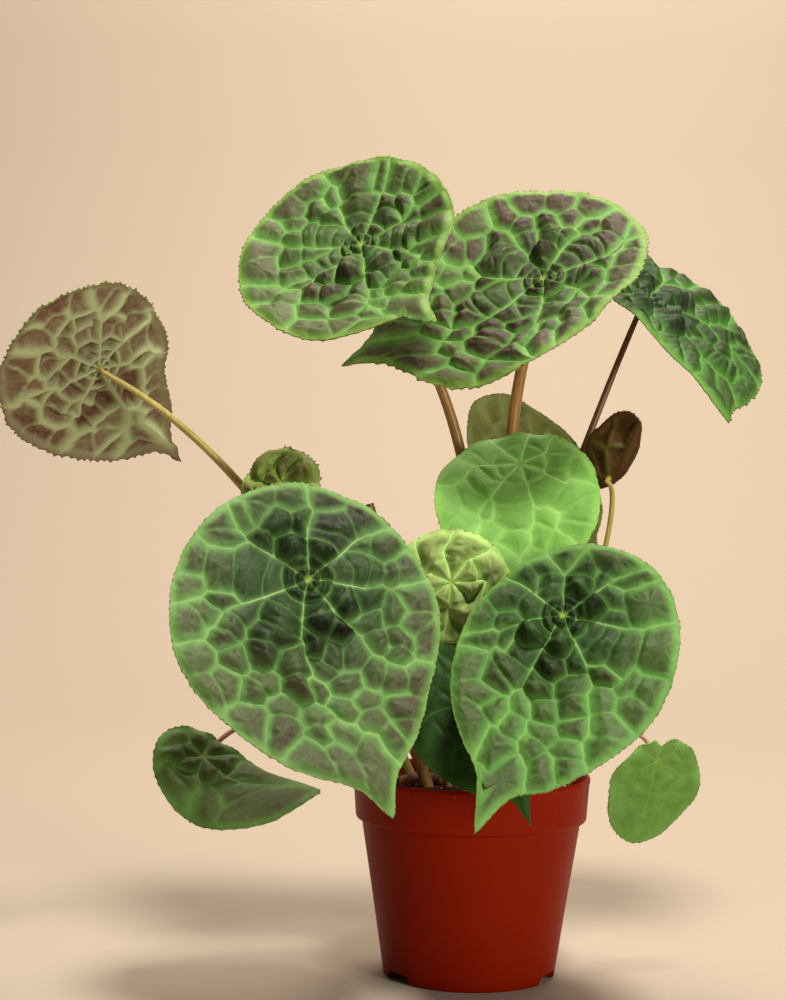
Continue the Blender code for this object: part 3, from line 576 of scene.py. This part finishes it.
def cell_centres(leaf, rng):
    """Points that the cells form round, in rows that follow the umbo's rings."""
    count = len(leaf.main_veins)
    fork = FORK_AT * leaf.half
    centres = []
    for k in range(count):
        radius = FIRST_CELL * leaf.coarse
        while radius < fork:
            start = heading(leaf, k, radius)
            gap = (heading(leaf, k + 1, radius) - start) % (2 * math.pi)
            across = max(1, round(radius * gap / (1.45 * OUTER_STEP)))
            for i in range(across):
                centres.append(on_plain(start + gap * (i + 0.5) / across, radius))
            step = INNER_STEP * leaf.coarse
            step += (OUTER_STEP - step) * float(smooth_step(CALM_FROM, CALM_TO, radius))
            radius += step * rng.uniform(0.75, 1.4)
    radius = fork + 0.3 * OUTER_STEP
    shift = 0.0
    while radius < 2.3 * leaf.half:
        for k in range(count):
            start = heading(leaf, k, radius)
            gap = (heading(leaf, k + 1, radius) - start) % (2 * math.pi)
            across = max(1, round(radius * gap / (1.15 * OUTER_STEP)))
            for i in range(across):
                spot = on_plain(start + gap * (i + shift) / across, radius)
                spot += Vector((rng.gauss(0, 1), rng.gauss(0, 1), 0)) * CELL_JITTER * OUTER_STEP
                if spot.length < leaf.margin(math.atan2(spot.y, spot.x)) - EDGE_CELL:
                    centres.append(spot)
        shift = 0.5 - shift
        radius += 0.9 * OUTER_STEP
    return centres


def cell_net(leaf, rng):
    """The blade without its tip as one face for each cell: the ground that is nearest to its centre."""
    centres = cell_centres(leaf, rng)
    bm = bmesh.new()
    scratch = bpy.data.meshes.new("cell")
    for centre in centres:
        patch = bmesh.new()
        bmesh.ops.create_circle(patch, cap_ends=True, segments=120, radius=1.0)
        for vertex in patch.verts:
            vertex.co *= leaf.margin(math.atan2(vertex.co.y, vertex.co.x))
        for way in sorted((other - centre for other in centres if other is not centre), key=lambda w: w.length):
            if way.length > 2 * max((v.co - centre).length for v in patch.verts):
                break
            bmesh.ops.bisect_plane(patch, geom=[*patch.faces, *patch.edges, *patch.verts], dist=1e-8,
                                   plane_co=centre + way / 2, plane_no=way, clear_outer=True)
        patch.to_mesh(scratch)
        patch.free()
        bm.from_mesh(scratch)
    bpy.data.meshes.remove(scratch)
    bmesh.ops.remove_doubles(bm, verts=bm.verts, dist=0.45 * MM)
    return bm


def stays_open(face):
    """Whether all of a cell's border can be seen from its middle."""
    middle = face.calc_center_median_weighted()
    spots = [v.co - middle for v in face.verts]
    turns = [a.x * b.y - a.y * b.x - OPEN_LEAST * (b - a).length for a, b in zip(spots, spots[1:] + spots[:1])]
    return min(turns) > 0 or max(turns) < -2 * OPEN_LEAST * OUTER_STEP


def mark_veins(bm, order, leaf, rng):
    """Main veins follow the cells' borders out from the umbo, and each opens into two at its fork."""
    core = min(bm.verts, key=lambda v: v.co.length)
    core.co = (0, 0, 0)
    for k in range(len(leaf.main_veins)):
        fork = (FORK_AT if k else MIDRIB_FORK) * leaf.half
        walks = [(core, 0, MAIN)]
        while walks:
            vertex, side, rank = walks.pop()
            radius = vertex.co.length
            ways = []
            for edge in vertex.link_edges:
                other = edge.other_vert(vertex)
                out = other.co.length
                if out > radius + 0.3 * MM and not edge.is_boundary and edge[order] == CROSS:
                    aim = heading(leaf, k, out)
                    aim += side * FORK_SPREAD * float(smooth_step(fork, leaf.margin(aim), out))
                    turn = turn_between(aim, math.atan2(other.co.y, other.co.x))
                    ways.append((abs(turn) * out, turn, aim, edge, other))
            ways.sort(key=lambda way: way[0])
            opens = rank == MAIN and radius > 0.92 * fork and len(ways) > 1
            for miss, turn, aim, edge, other in ways[:2 if opens else 1]:
                if miss > 1.3 * OUTER_STEP:
                    continue
                new_side, new_rank = ((1 if turn > 0 else -1), BRANCH) if opens else (side, rank)
                edge[order] = new_rank
                if not other.is_boundary:
                    at = math.atan2(other.co.y, other.co.x)
                    reach = other.co.length
                    for keep in (0.0 if new_rank == MAIN else 0.55, 0.3, 0.6, 0.8, 1.0):
                        other.co = on_plain(aim + keep * turn_between(aim, at), reach)
                        if all(stays_open(face) for face in other.link_faces):
                            break
                    walks.append((other, new_side, new_rank))
    for face in bm.faces:
        free = [e for e in face.edges if e[order] == CROSS and not e.is_boundary]
        far = face.calc_center_median().length > FAINT_FROM
        if free and far and rng.random() < FAINT_SHARE:
            longest = max(free, key=lambda e: e.calc_length())
            if sum(e[order] == FAINT for side in longest.link_faces for e in side.edges) < 2:
                longest[order] = FAINT


def cell_groups(bm, order):
    """The numbers of cells that only faint folds part, a list for each group."""
    bm.faces.index_update()
    bm.faces.ensure_lookup_table()
    waiting = set(range(len(bm.faces)))
    groups = []
    while waiting:
        found = [min(waiting)]
        waiting.discard(found[0])
        for index in found:
            for edge in bm.faces[index].edges:
                if edge[order] == FAINT:
                    fresh = [face.index for face in edge.link_faces if face.index in waiting]
                    waiting.difference_update(fresh)
                    found.extend(fresh)
        groups.append(found)
    return groups


def in_millimetre_steps(bm, order):
    """Veins and margin cut into short steps, and the cross veins rounded where they meet."""
    for edge in list(bm.edges):
        start = edge.verts[0]
        for left in range(max(1, round(edge.calc_length() / SEGMENT)), 1, -1):
            edge, start = bmesh.utils.edge_split(edge, start, 1 / left)
            edge = next(e for e in start.link_edges if e != edge)
    loose = [v for v in bm.verts if not v.is_boundary and max(e[order] for e in v.link_edges) < MAIN]
    for _ in range(7):
        bmesh.ops.smooth_vert(bm, verts=loose, factor=0.5, use_axis_x=True, use_axis_y=True, use_axis_z=False)


# Cells: the blade bulges up between its veins. Rows of points follow each cell's border inwards, so that
# the veins stay crisp, and every point's height comes from its distance to the nearest vein.
ROWS = ((0.3, 0.12), (0.7, 0.25), (1.2, 0.40), (1.9, 0.56), (2.8, 0.72), (3.8, 0.85), (5.0, 0.94))
ARC = 0.12
PUFF = 0.95
PUFF_MAX = 5.2 * MM
INNER_PUFF = 0.5
LEAN = 0.45
SHARP = 0.45
FOLD_DEPTH = 1.1 * MM
FOLD_WIDTH = 2.0 * MM
RIPPLE = 0.42 * MM
RIPPLE_STEP = 3.3 * MM
WRINKLE = 0.6 * MM
WRINKLE_SIZE = 2.7 * MM
MARGIN_BAND = 4.0 * MM
TOOTH_EVERY = 3
RAGGED_SIZE = 5.0 * MM
VEIN_WIDTH = (0.5, 0.4, 0.8, 0.38)
VEIN_TINT = (0.06, 0.03, 0.32, 0.78)
BAND_WIDTH = (1.25, 1.0, 2.2, 1.4)


def add_rows(bm):
    """Rows of quads inside every cell; returns the points inside each one."""
    cells = list(bm.faces)
    middles = [face.calc_center_median_weighted() for face in cells]
    sizes = [sum((v.co - middle).length for v in face.verts) / len(face.verts)
             for face, middle in zip(cells, middles)]
    insides = [[] for _ in cells]
    kept = [1.0] * len(cells)
    for inwards, most in ROWS:
        bmesh.ops.inset_individual(bm, faces=cells, thickness=0.0, use_even_offset=False)
        for index, face in enumerate(cells):
            left = 1 - min(inwards * MM / sizes[index], most)
            for vertex in face.verts:
                vertex.co = middles[index] + (vertex.co - middles[index]) * left / kept[index]
            kept[index] = left
            insides[index].extend(face.verts)
    owner = {vertex: index for index, face in enumerate(cells) for vertex in face.verts}
    for centre in bmesh.ops.poke(bm, faces=cells, center_mode="MEAN")["verts"]:
        insides[owner[centre.link_edges[0].other_vert(centre)]].append(centre)
    return insides


def distance_to(points, starts, ends):
    """Each point's distance to the nearest of some segments, and which one that is."""
    along = ends - starts
    lengths = np.maximum((along**2).sum(1), 1e-12)
    rel = points[:, None, :] - starts[None, :, :]
    t = np.clip((rel * along[None]).sum(2) / lengths[None], 0, 1)
    gaps = np.linalg.norm(rel - t[:, :, None] * along[None], axis=2)
    nearest = gaps.argmin(1)
    return gaps[np.arange(len(points)), nearest], nearest


def build_blade(leaf, skins):
    rng = random.Random(leaf.name)
    bm = cell_net(leaf, rng)
    order = bm.edges.layers.int.new("order")
    mark_veins(bm, order, leaf, rng)
    in_millimetre_steps(bm, order)
    sides = [[(loop.vert, loop.link_loop_next.vert, loop.edge[order], loop.edge.is_boundary)
              for loop in face.loops] for face in bm.faces]
    tint_at = {v: max(VEIN_TINT[e[order]] for e in v.link_edges) for v in bm.verts}
    groups = cell_groups(bm, order)
    margin = [v for v in bm.verts if v.is_boundary]
    insides = add_rows(bm)
    bm.verts.index_update()
    plain = np.array([v.co for v in bm.verts])
    angle = np.arctan2(plain[:, 1], plain[:, 0])
    radius = np.hypot(plain[:, 0], plain[:, 1])
    share = np.minimum(radius / (leaf.half * leaf.oval(angle)), 1.0)
    for k in range(len(leaf.main_veins)):
        start, end = (heading(leaf, side, 0.3 * leaf.half) for side in (k, k + 1))
        part = ((angle - start) % (2 * math.pi)) / ((end - start) % (2 * math.pi))
        share += share * (1 - smooth_step(0.3, 0.8, share)) * ARC * np.where(part < 1, 4 * part * (1 - part), 0)
    share[[v.index for v in margin]] = 1.0
    count = len(plain)
    x, y = leaf.flat(angle, share)
    seed = Vector((rng.uniform(0, 50), rng.uniform(0, 50), rng.uniform(0, 50)))
    calm = smooth_step(0.0, 6 * MM, radius) * (1 - smooth_step(0.86, 1.0, share)) * WARP
    for i in range(count):
        drift = noise.noise_vector(Vector((x[i], y[i], 0)) / WARP_SIZE + seed)
        x[i] += calm[i] * drift.x
        y[i] += calm[i] * drift.y
        edge_part = smooth_step(0.8, 1.0, share[i]) * leaf.ragged * MM
        ragged = noise.noise_vector(Vector((x[i], y[i], 0)) / RAGGED_SIZE + seed)
        x[i] += edge_part * ragged.x
        y[i] += edge_part * ragged.y
    flat = np.stack([x, y], 1)
    z = np.zeros(count)
    vein = np.zeros(count)
    crown = np.zeros(count)
    edge_gap = np.full(count, 1.0)
    for vertex, value in tint_at.items():
        vein[vertex.index] = value
    for group in groups:
        ring = [side for index in group for side in sides[index]]
        folds = [side for side in ring if side[2] == FAINT]
        on_folds = {v.index for side in folds for v in side[:2]}
        ids = np.array([v.index for index in group for v in insides[index]] + sorted(on_folds))
        inner = [side for side in ring if not side[3] and side[2] != FAINT]
        outer = [side for side in ring if side[3]]
        ranks = np.array([side[2] for side in inner])
        gap, nearest = distance_to(flat[ids], flat[[side[0].index for side in inner]],
                                   flat[[side[1].index for side in inner]])
        size = gap.max()
        if outer:
            edge_gap[ids] = distance_to(flat[ids], flat[[side[0].index for side in outer]],
                                        flat[[side[1].index for side in outer]])[0]
            size = min(size, 1.3 * np.minimum(gap, edge_gap[ids]).max())
        t = np.clip(gap / size, 0, 1)
        height = min(PUFF_MAX, PUFF * size) * leaf.puff * rng.uniform(0.6, 1.3)
        height *= 1 + INNER_PUFF * (1 - float(smooth_step(0.2, 0.6, share[ids].mean())))
        outwards = np.clip((radius[ids] - radius[ids].mean()) / (1.3 * size), -1, 1)
        rounded = SHARP * (1 - (1 - t) ** 2.4) + (1 - SHARP) * smooth_step(0.0, 0.95, t)
        z[ids] = height * rounded * (1 + LEAN * outwards)
        line = np.array(VEIN_WIDTH)[ranks[nearest]] * MM
        vein[ids] = np.array(VEIN_TINT)[ranks[nearest]] * (1 - smooth_step(0.3, 1.3, gap / line))
        band = np.minimum(np.array(BAND_WIDTH)[ranks[nearest]] * MM, 0.42 * size)
        band *= 1 - 0.35 * (1 - smooth_step(0.3, 0.8, share[ids]))
        # Painted shade: each crown's tint is a little darker on its outer side, for the shade on its steeper outer
        # flank.
        crown[ids] = smooth_step(0.1, 2.3, gap / band) * rng.uniform(0.78, 1.0) * (1 + 0.12 * outwards)
        if folds:
            fold_gap = distance_to(flat[ids], flat[[side[0].index for side in folds]],
                                   flat[[side[1].index for side in folds]])[0]
            z[ids] -= FOLD_DEPTH * (1 - smooth_step(0.0, FOLD_WIDTH, fold_gap)) * np.clip(z[ids] / (1.5 * MM), 0, 1)
            crown[ids] *= 1 - 0.5 * (1 - smooth_step(0.0, 0.8 * FOLD_WIDTH, fold_gap))
    for vertex in margin:
        edge_gap[vertex.index] = 0.0
        vein[vertex.index] *= 0.3
    # Darkening towards the umbo, read by the skins: partly pigment, partly painted shade.
    umbo_pigment_and_shade = 1 - smooth_step(0.36, 0.95, radius / leaf.half)
    flatter = (0.42 + 0.58 * (1 - smooth_step(0.35, 0.95, share))) * smooth_step(0.0, MARGIN_BAND, edge_gap)
    drifting = np.array([noise.noise(Vector((x[i], y[i], 0)) / (9 * MM) + seed) for i in range(count)])
    rings = np.sin(radius * 2 * math.pi / RIPPLE_STEP + 2.2 * np.sin(3 * angle + seed.x) + 5 * drifting)
    z += RIPPLE * leaf.puff * rings * smooth_step(0.25, 0.8, z / PUFF_MAX)
    z *= flatter
    for i in range(count):
        wrinkle = noise.noise(Vector((x[i], y[i], 0)) / WRINKLE_SIZE + seed)
        z[i] += WRINKLE * leaf.puff * wrinkle * min(1.0, z[i] / (0.8 * MM))
    z += RIM_WAVE * share**7 * np.sin(RIM_WAVES * np.arctan2(y, x) + leaf.umbo.x / MM)
    crown *= smooth_step(0.2 * MARGIN_BAND, MARGIN_BAND, edge_gap)
    for index, vertex in enumerate(sorted(margin, key=lambda v: angle[v.index])):
        i = vertex.index
        tooth = 0.0 if index % TOOTH_EVERY else leaf.ragged * MM * rng.uniform(0.3, 1.1)
        x[i] *= 1 + tooth / max(radius[i], MM)
        y[i] *= 1 + tooth / max(radius[i], MM)
    bmesh.ops.recalc_face_normals(bm, faces=bm.faces)
    bm.faces.ensure_lookup_table()
    if bm.faces[0].normal.z < 0:
        bmesh.ops.reverse_faces(bm, faces=bm.faces)
    blade = finished(leaf.name + "_quilted_blade", bm, skins)
    blade.data.vertices.foreach_set("co", leaf.bent(x, y, z).astype(np.float32).ravel())
    marks = {"vein": vein, "crown": crown, "inner": umbo_pigment_and_shade,
             "rim": 0.7 * (1 - smooth_step(0.3 * MM, 4.0 * MM, edge_gap)),
             "lip": 1 - smooth_step(0.0, 0.7 * MM, edge_gap),
             "umbo": 1 - smooth_step(0.6 * MM, 2.2 * MM, radius)}
    for key, values in marks.items():
        blade.data.attributes.new(key, "FLOAT", "POINT").data.foreach_set("value", values.astype(np.float32))
    blade.data.update()
    sheet = blade.modifiers.new("thickness", "SOLIDIFY")
    sheet.thickness = BLADE_THICK
    sheet.offset = 0.0
    sheet.material_offset = 1
    sheet.material_offset_rim = 2
    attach(blade, "root")
    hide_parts(leaf.name + "_blade")


for leaf in LEAVES:
    green, light, crown_tint, vein_tint, margin_tint, under, under_vein, dusk = FINISHES[leaf.finish]
    upper = blade_skin(f"{leaf.name}_upper_skin", green, light, crown_tint, vein_tint, margin_tint, dusk,
                       leaf.brown, 0.58)
    lower = blade_skin(f"{leaf.name}_lower_skin", under_vein, under_vein, (under, under), under_vein, under,
                       0.2, 1.0, 0.5)
    build_blade(leaf, [upper, lower, edge_skin(f"{leaf.name}_edge", margin_tint)])


# Stalks: each leaf stands on one round, fleshy stalk that rises from the rootstock through the soil and
# widens where it meets the blade's underside. They are smooth, with fine lengthwise ribs.
STALK_STEPS = 40
STALK_SIDES = 16
BARKS = {
    "ochre": ("#8a6428", "#a27c3c"),
    "olive": ("#8f7c36", "#a89a4c"),
    "dark": ("#5c3e1c", "#7a5a2c"),
    "pink": ("#9a6a4a", "#b58a66"),
}


def bezier(p0, p1, p2, p3, share):
    rest = 1 - share
    return p0 * rest**3 + p1 * 3 * rest**2 * share + p2 * 3 * rest * share**2 + p3 * share**3


def stalk_skin(name, dark, light):
    material, tree, shader = new_material(name, 0.42)
    place = add(tree, "ShaderNodeTexCoord").outputs["Object"]
    lengthways = add(tree, "ShaderNodeMapping", {}, {"Vector": place, "Scale": (1.0, 1.0, 0.12)}).outputs[0]
    streak = add(tree, "ShaderNodeTexNoise", {}, {"Vector": lengthways, "Scale": 900.0, "Detail": 4.0}).outputs["Fac"]
    cloud = add(tree, "ShaderNodeTexNoise", {}, {"Vector": place, "Scale": 45.0, "Detail": 3.0}).outputs["Fac"]
    both = add(tree, "ShaderNodeMath", {"operation": "MULTIPLY"}, {0: streak, 1: cloud}).outputs[0]
    spread = add(tree, "ShaderNodeMapRange", {}, {0: both, 1: 0.15, 2: 0.38, 3: 0.0, 4: 1.0}).outputs[0]
    tree.links.new(mixed(tree, spread, linear(dark), linear(light)), shader.inputs["Base Color"])
    skin = add(tree, "ShaderNodeBump", {}, {"Strength": 0.4, "Distance": 0.15 * MM, "Height": streak})
    tree.links.new(skin.outputs["Normal"], shader.inputs["Normal"])
    return material


def bar_along(name, points, radii, material, rng, sides=STALK_SIDES):
    """A round tapered bar through the points, its ends closed, with a slightly uneven skin."""
    bm = bmesh.new()
    bmesh.ops.create_circle(bm, cap_ends=True, segments=sides, radius=1.0)
    shape = [v.co.copy() for v in bm.verts]
    ring = list(bm.verts)
    seed = Vector((rng.uniform(0, 90), rng.uniform(0, 90), rng.uniform(0, 90)))
    up = (points[1] - points[0]).normalized()
    frame_x = up.orthogonal().normalized()
    for index, (point, radius) in enumerate(zip(points, radii)):
        ahead = points[min(index + 1, len(points) - 1)] - points[max(index - 1, 0)]
        ahead.normalize()
        frame_x = (frame_x - ahead * frame_x.dot(ahead)).normalized()
        frame_y = ahead.cross(frame_x)
        if index:
            border = [e for e in bm.edges if e.is_boundary] if index > 1 else [e for e in bm.edges]
            grown = bmesh.ops.extrude_edge_only(bm, edges=border)["geom"]
            fresh = [g for g in grown if isinstance(g, bmesh.types.BMVert)]
            fresh.sort(key=lambda v: next(i for i, r in enumerate(ring) if any(
                e.other_vert(v) == r for e in v.link_edges)))
            ring = fresh
        for vertex, spot in zip(ring, shape):
            uneven = 1 + 0.05 * noise.noise(spot * 0.7 + point / (14 * MM) + seed)
            vertex.co = point + (frame_x * spot.x + frame_y * spot.y) * radius * uneven
    bmesh.ops.contextual_create(bm, geom=[e for e in bm.edges if e.is_boundary])
    bmesh.ops.recalc_face_normals(bm, faces=bm.faces)
    bar = finished(name, bm, [material])
    bar.data.set_sharp_from_angle(angle=math.radians(50))
    return bar


barks = {key: stalk_skin(f"begonia_stalk_{key}", *tints) for key, tints in BARKS.items()}
for leaf in LEAVES:
    normal = leaf.axes[2]
    seat = leaf.umbo - normal * (BLADE_CAD_THICK / 2 + SEAT_GAP)
    neck = seat - normal * STALK_NECK
    p1 = leaf.foot + leaf.lean
    p2 = seat - normal * leaf.reach
    points = [bezier(leaf.foot, p1, p2, neck, step / STALK_STEPS) for step in range(STALK_STEPS + 1)]
    points += [seat, leaf.umbo - normal * 0.2 * MM]
    wide, slim = leaf.thick
    radii = [wide + (slim - wide) * step / STALK_STEPS for step in range(STALK_STEPS + 1)]
    radii[0] *= 1.1
    radii += [slim * 1.08, slim * 1.35]
    stalk = bar_along(leaf.name + "_fleshy_stalk", points, radii, barks[leaf.bark], random.Random(leaf.name + "s"))
    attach(stalk, "root")
    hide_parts(leaf.name + "_stalk")

# Old stalk: what is left of a leaf that was cut off; its end has dried brown.
STUB = ((-8, -11, 71), (-14, -12, 110), (-34, -14, 160), (-44, -15, 197))
STUB_RADII = (1.9 * MM, 1.7 * MM)
p0, p1, p2, p3 = (Vector(point) * MM for point in STUB)
stub_points = [bezier(p0, p1, p2, p3, step / 24) for step in range(25)]
stub_radii = [STUB_RADII[0] + (STUB_RADII[1] - STUB_RADII[0]) * step / 24 for step in range(25)]
stub_radii[-3:] = [radius * swell for radius, swell in zip(stub_radii[-3:], (1.02, 1.12, 1.02))]
stub = bar_along("cut_old_stalk", stub_points, stub_radii, barks["dark"], random.Random(5))
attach(stub, "root")
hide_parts("stub_stalk")


# Soil: dark brown peat with loose crumbs and a few grains of white perlite, filled to just under the rim.
SOIL_EDGE = 77.0 * MM
SOIL_MOUND = 2.4 * MM
SOIL_SIDES = 120


def soil_height(radius):
    share = radius / (BAND_RADIUS - POT_WALL)
    return SOIL_EDGE + SOIL_MOUND * (1 - share * share)


peat, tree, shader = new_material("peat_potting_soil", 0.95, 0.2)
place = add(tree, "ShaderNodeTexCoord").outputs["Object"]
clods = add(tree, "ShaderNodeTexNoise", {}, {"Vector": place, "Scale": 420.0, "Detail": 6.0}).outputs["Fac"]
earth = add(tree, "ShaderNodeValToRGB", {}, {"Fac": clods})
earth.color_ramp.elements[0].position = 0.35
earth.color_ramp.elements[0].color = linear("#1c110c")
earth.color_ramp.elements[1].position = 0.7
earth.color_ramp.elements[1].color = linear("#4d3224")
tree.links.new(earth.outputs["Color"], shader.inputs["Base Color"])
crumble = add(tree, "ShaderNodeBump", {}, {"Strength": 0.8, "Distance": 0.5 * MM, "Height": clods})
tree.links.new(crumble.outputs["Normal"], shader.inputs["Normal"])
perlite, tree, shader = new_material("expanded_perlite", 0.8, 0.3)
place = add(tree, "ShaderNodeTexCoord").outputs["Object"]
stain = add(tree, "ShaderNodeTexNoise", {}, {"Vector": place, "Scale": 900.0, "Detail": 2.0}).outputs["Fac"]
stained = add(tree, "ShaderNodeMix", {"data_type": "RGBA"}, {0: stain, 6: linear("#b3a08a"), 7: linear("#f0e8dc")})
tree.links.new(stained.outputs[2], shader.inputs["Base Color"])

soil_bottom = floor_top + 0.3 * MM
soil_rim = RIM_RADIUS - POT_WALL - 0.2 * MM
band_inner = BAND_RADIUS - POT_WALL - 0.2 * MM
slope = (soil_rim - band_inner) / (POT_HEIGHT - BAND_BOTTOM - POT_WALL)
top_radius = band_inner + slope * (SOIL_EDGE - BAND_BOTTOM - POT_WALL)
soil_profile = [
    (0, soil_bottom),
    (FOOT_RADIUS - 3.2 * MM, soil_bottom),
    (wall_radius(soil_bottom + 1.6 * MM) - POT_WALL - 0.4 * MM, soil_bottom + 1.6 * MM),
    (NECK_RADIUS - POT_WALL - 0.4 * MM, BAND_BOTTOM - 0.4 * MM),
    (band_inner, BAND_BOTTOM + POT_WALL + 0.2 * MM),
    (top_radius, SOIL_EDGE),
]
rings = 44
soil_profile += [(top_radius * (1 - k / rings), soil_height(top_radius * (1 - k / rings))) for k in range(1, rings)]
soil_profile += [(0, soil_height(0))]
bm = bmesh.new()
spun(bm, soil_profile, SOIL_SIDES, False)
for vertex in bm.verts:
    if vertex.co.z > SOIL_EDGE + 0.02 * MM:
        rough = noise.fractal(vertex.co / (5 * MM), 0.9, 2.0, 4)
        edge_calm = min(1.0, (top_radius - math.hypot(vertex.co.x, vertex.co.y)) / (2 * MM))
        vertex.co.z += 1.1 * MM * rough * edge_calm
soil = finished("peat_soil", bm, [peat])
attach(soil, "root")
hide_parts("soil")

CRUMBS = 900
PERLITE_GRAINS = 34
rng = random.Random(29)
bm = bmesh.new()
for index in range(CRUMBS + PERLITE_GRAINS):
    radius = (top_radius - 1.5 * MM) * math.sqrt(rng.random())
    turn = rng.uniform(0, 2 * math.pi)
    size = rng.uniform(0.4, 1.5) * MM if index < CRUMBS else rng.uniform(0.5, 1.0) * MM
    made = bmesh.ops.create_icosphere(bm, subdivisions=1, radius=size)["verts"]
    for vertex in made:
        vertex.co *= rng.uniform(0.65, 1.2)
    bmesh.ops.scale(bm, vec=(rng.uniform(0.7, 1.4), rng.uniform(0.7, 1.2), rng.uniform(0.5, 0.9)), verts=made)
    bmesh.ops.rotate(bm, cent=(0, 0, 0), matrix=Matrix.Rotation(rng.uniform(0, 6.28), 3, "Z"), verts=made)
    bmesh.ops.translate(bm, vec=(radius * math.cos(turn), radius * math.sin(turn),
                                 soil_height(radius) + 0.3 * size), verts=made)
    if index >= CRUMBS:
        for face in {f for v in made for f in v.link_faces}:
            face.material_index = 1
crumbs = finished("loose_crumbs", bm, [peat, perlite])
crumbs.data.set_sharp_from_angle(angle=math.radians(25))
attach(crumbs, "root")


# Rootstock: the plant's creeping stem, a knobbly brown finger that lies half sunk in the soil. The stalks
# grow from it, and each lost leaf has left a swollen scar.
ROOTSTOCK_RADIUS = 4.3 * MM
ROOTSTOCK_LIFT = 0.6 * MM
ROOTSTOCK_PATH = ((-31, -3), (-24, -1), (-16, -2), (-8, 0), (0, -1), (5, 0))
ROOTSTOCK_KNOBS = (0.72, 1.06, 0.94, 1.1, 0.96, 0.7)
bark, tree, shader = new_material("rootstock_bark", 0.75, 0.3)
place = add(tree, "ShaderNodeTexCoord").outputs["Object"]
scales = add(tree, "ShaderNodeTexNoise", {}, {"Vector": place, "Scale": 520.0, "Detail": 5.0}).outputs["Fac"]
shade = add(tree, "ShaderNodeValToRGB", {}, {"Fac": scales})
shade.color_ramp.elements[0].position = 0.35
shade.color_ramp.elements[0].color = linear("#3a1d12")
shade.color_ramp.elements[1].position = 0.68
shade.color_ramp.elements[1].color = linear("#8a5236")
tree.links.new(shade.outputs["Color"], shader.inputs["Base Color"])
scaly = add(tree, "ShaderNodeBump", {}, {"Strength": 0.8, "Distance": 0.4 * MM, "Height": scales})
tree.links.new(scaly.outputs["Normal"], shader.inputs["Normal"])
knots = [Vector((x * MM, y * MM, soil_height(abs(x) * MM) + ROOTSTOCK_LIFT)) for x, y in ROOTSTOCK_PATH]
root_points, root_radii = [], []
for index in range(len(knots) - 1):
    for step in range(8):
        share = step / 8
        ease = share * share * (3 - 2 * share)
        root_points.append(knots[index].lerp(knots[index + 1], share))
        root_radii.append(ROOTSTOCK_RADIUS * (ROOTSTOCK_KNOBS[index] * (1 - ease) + ROOTSTOCK_KNOBS[index + 1] * ease))
root_points.append(knots[-1])
root_radii.append(ROOTSTOCK_RADIUS * ROOTSTOCK_KNOBS[-1])
rootstock = bar_along("creeping_rootstock", root_points, root_radii, bark, random.Random(8), sides=24)
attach(rootstock, "root")
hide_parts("rootstock")
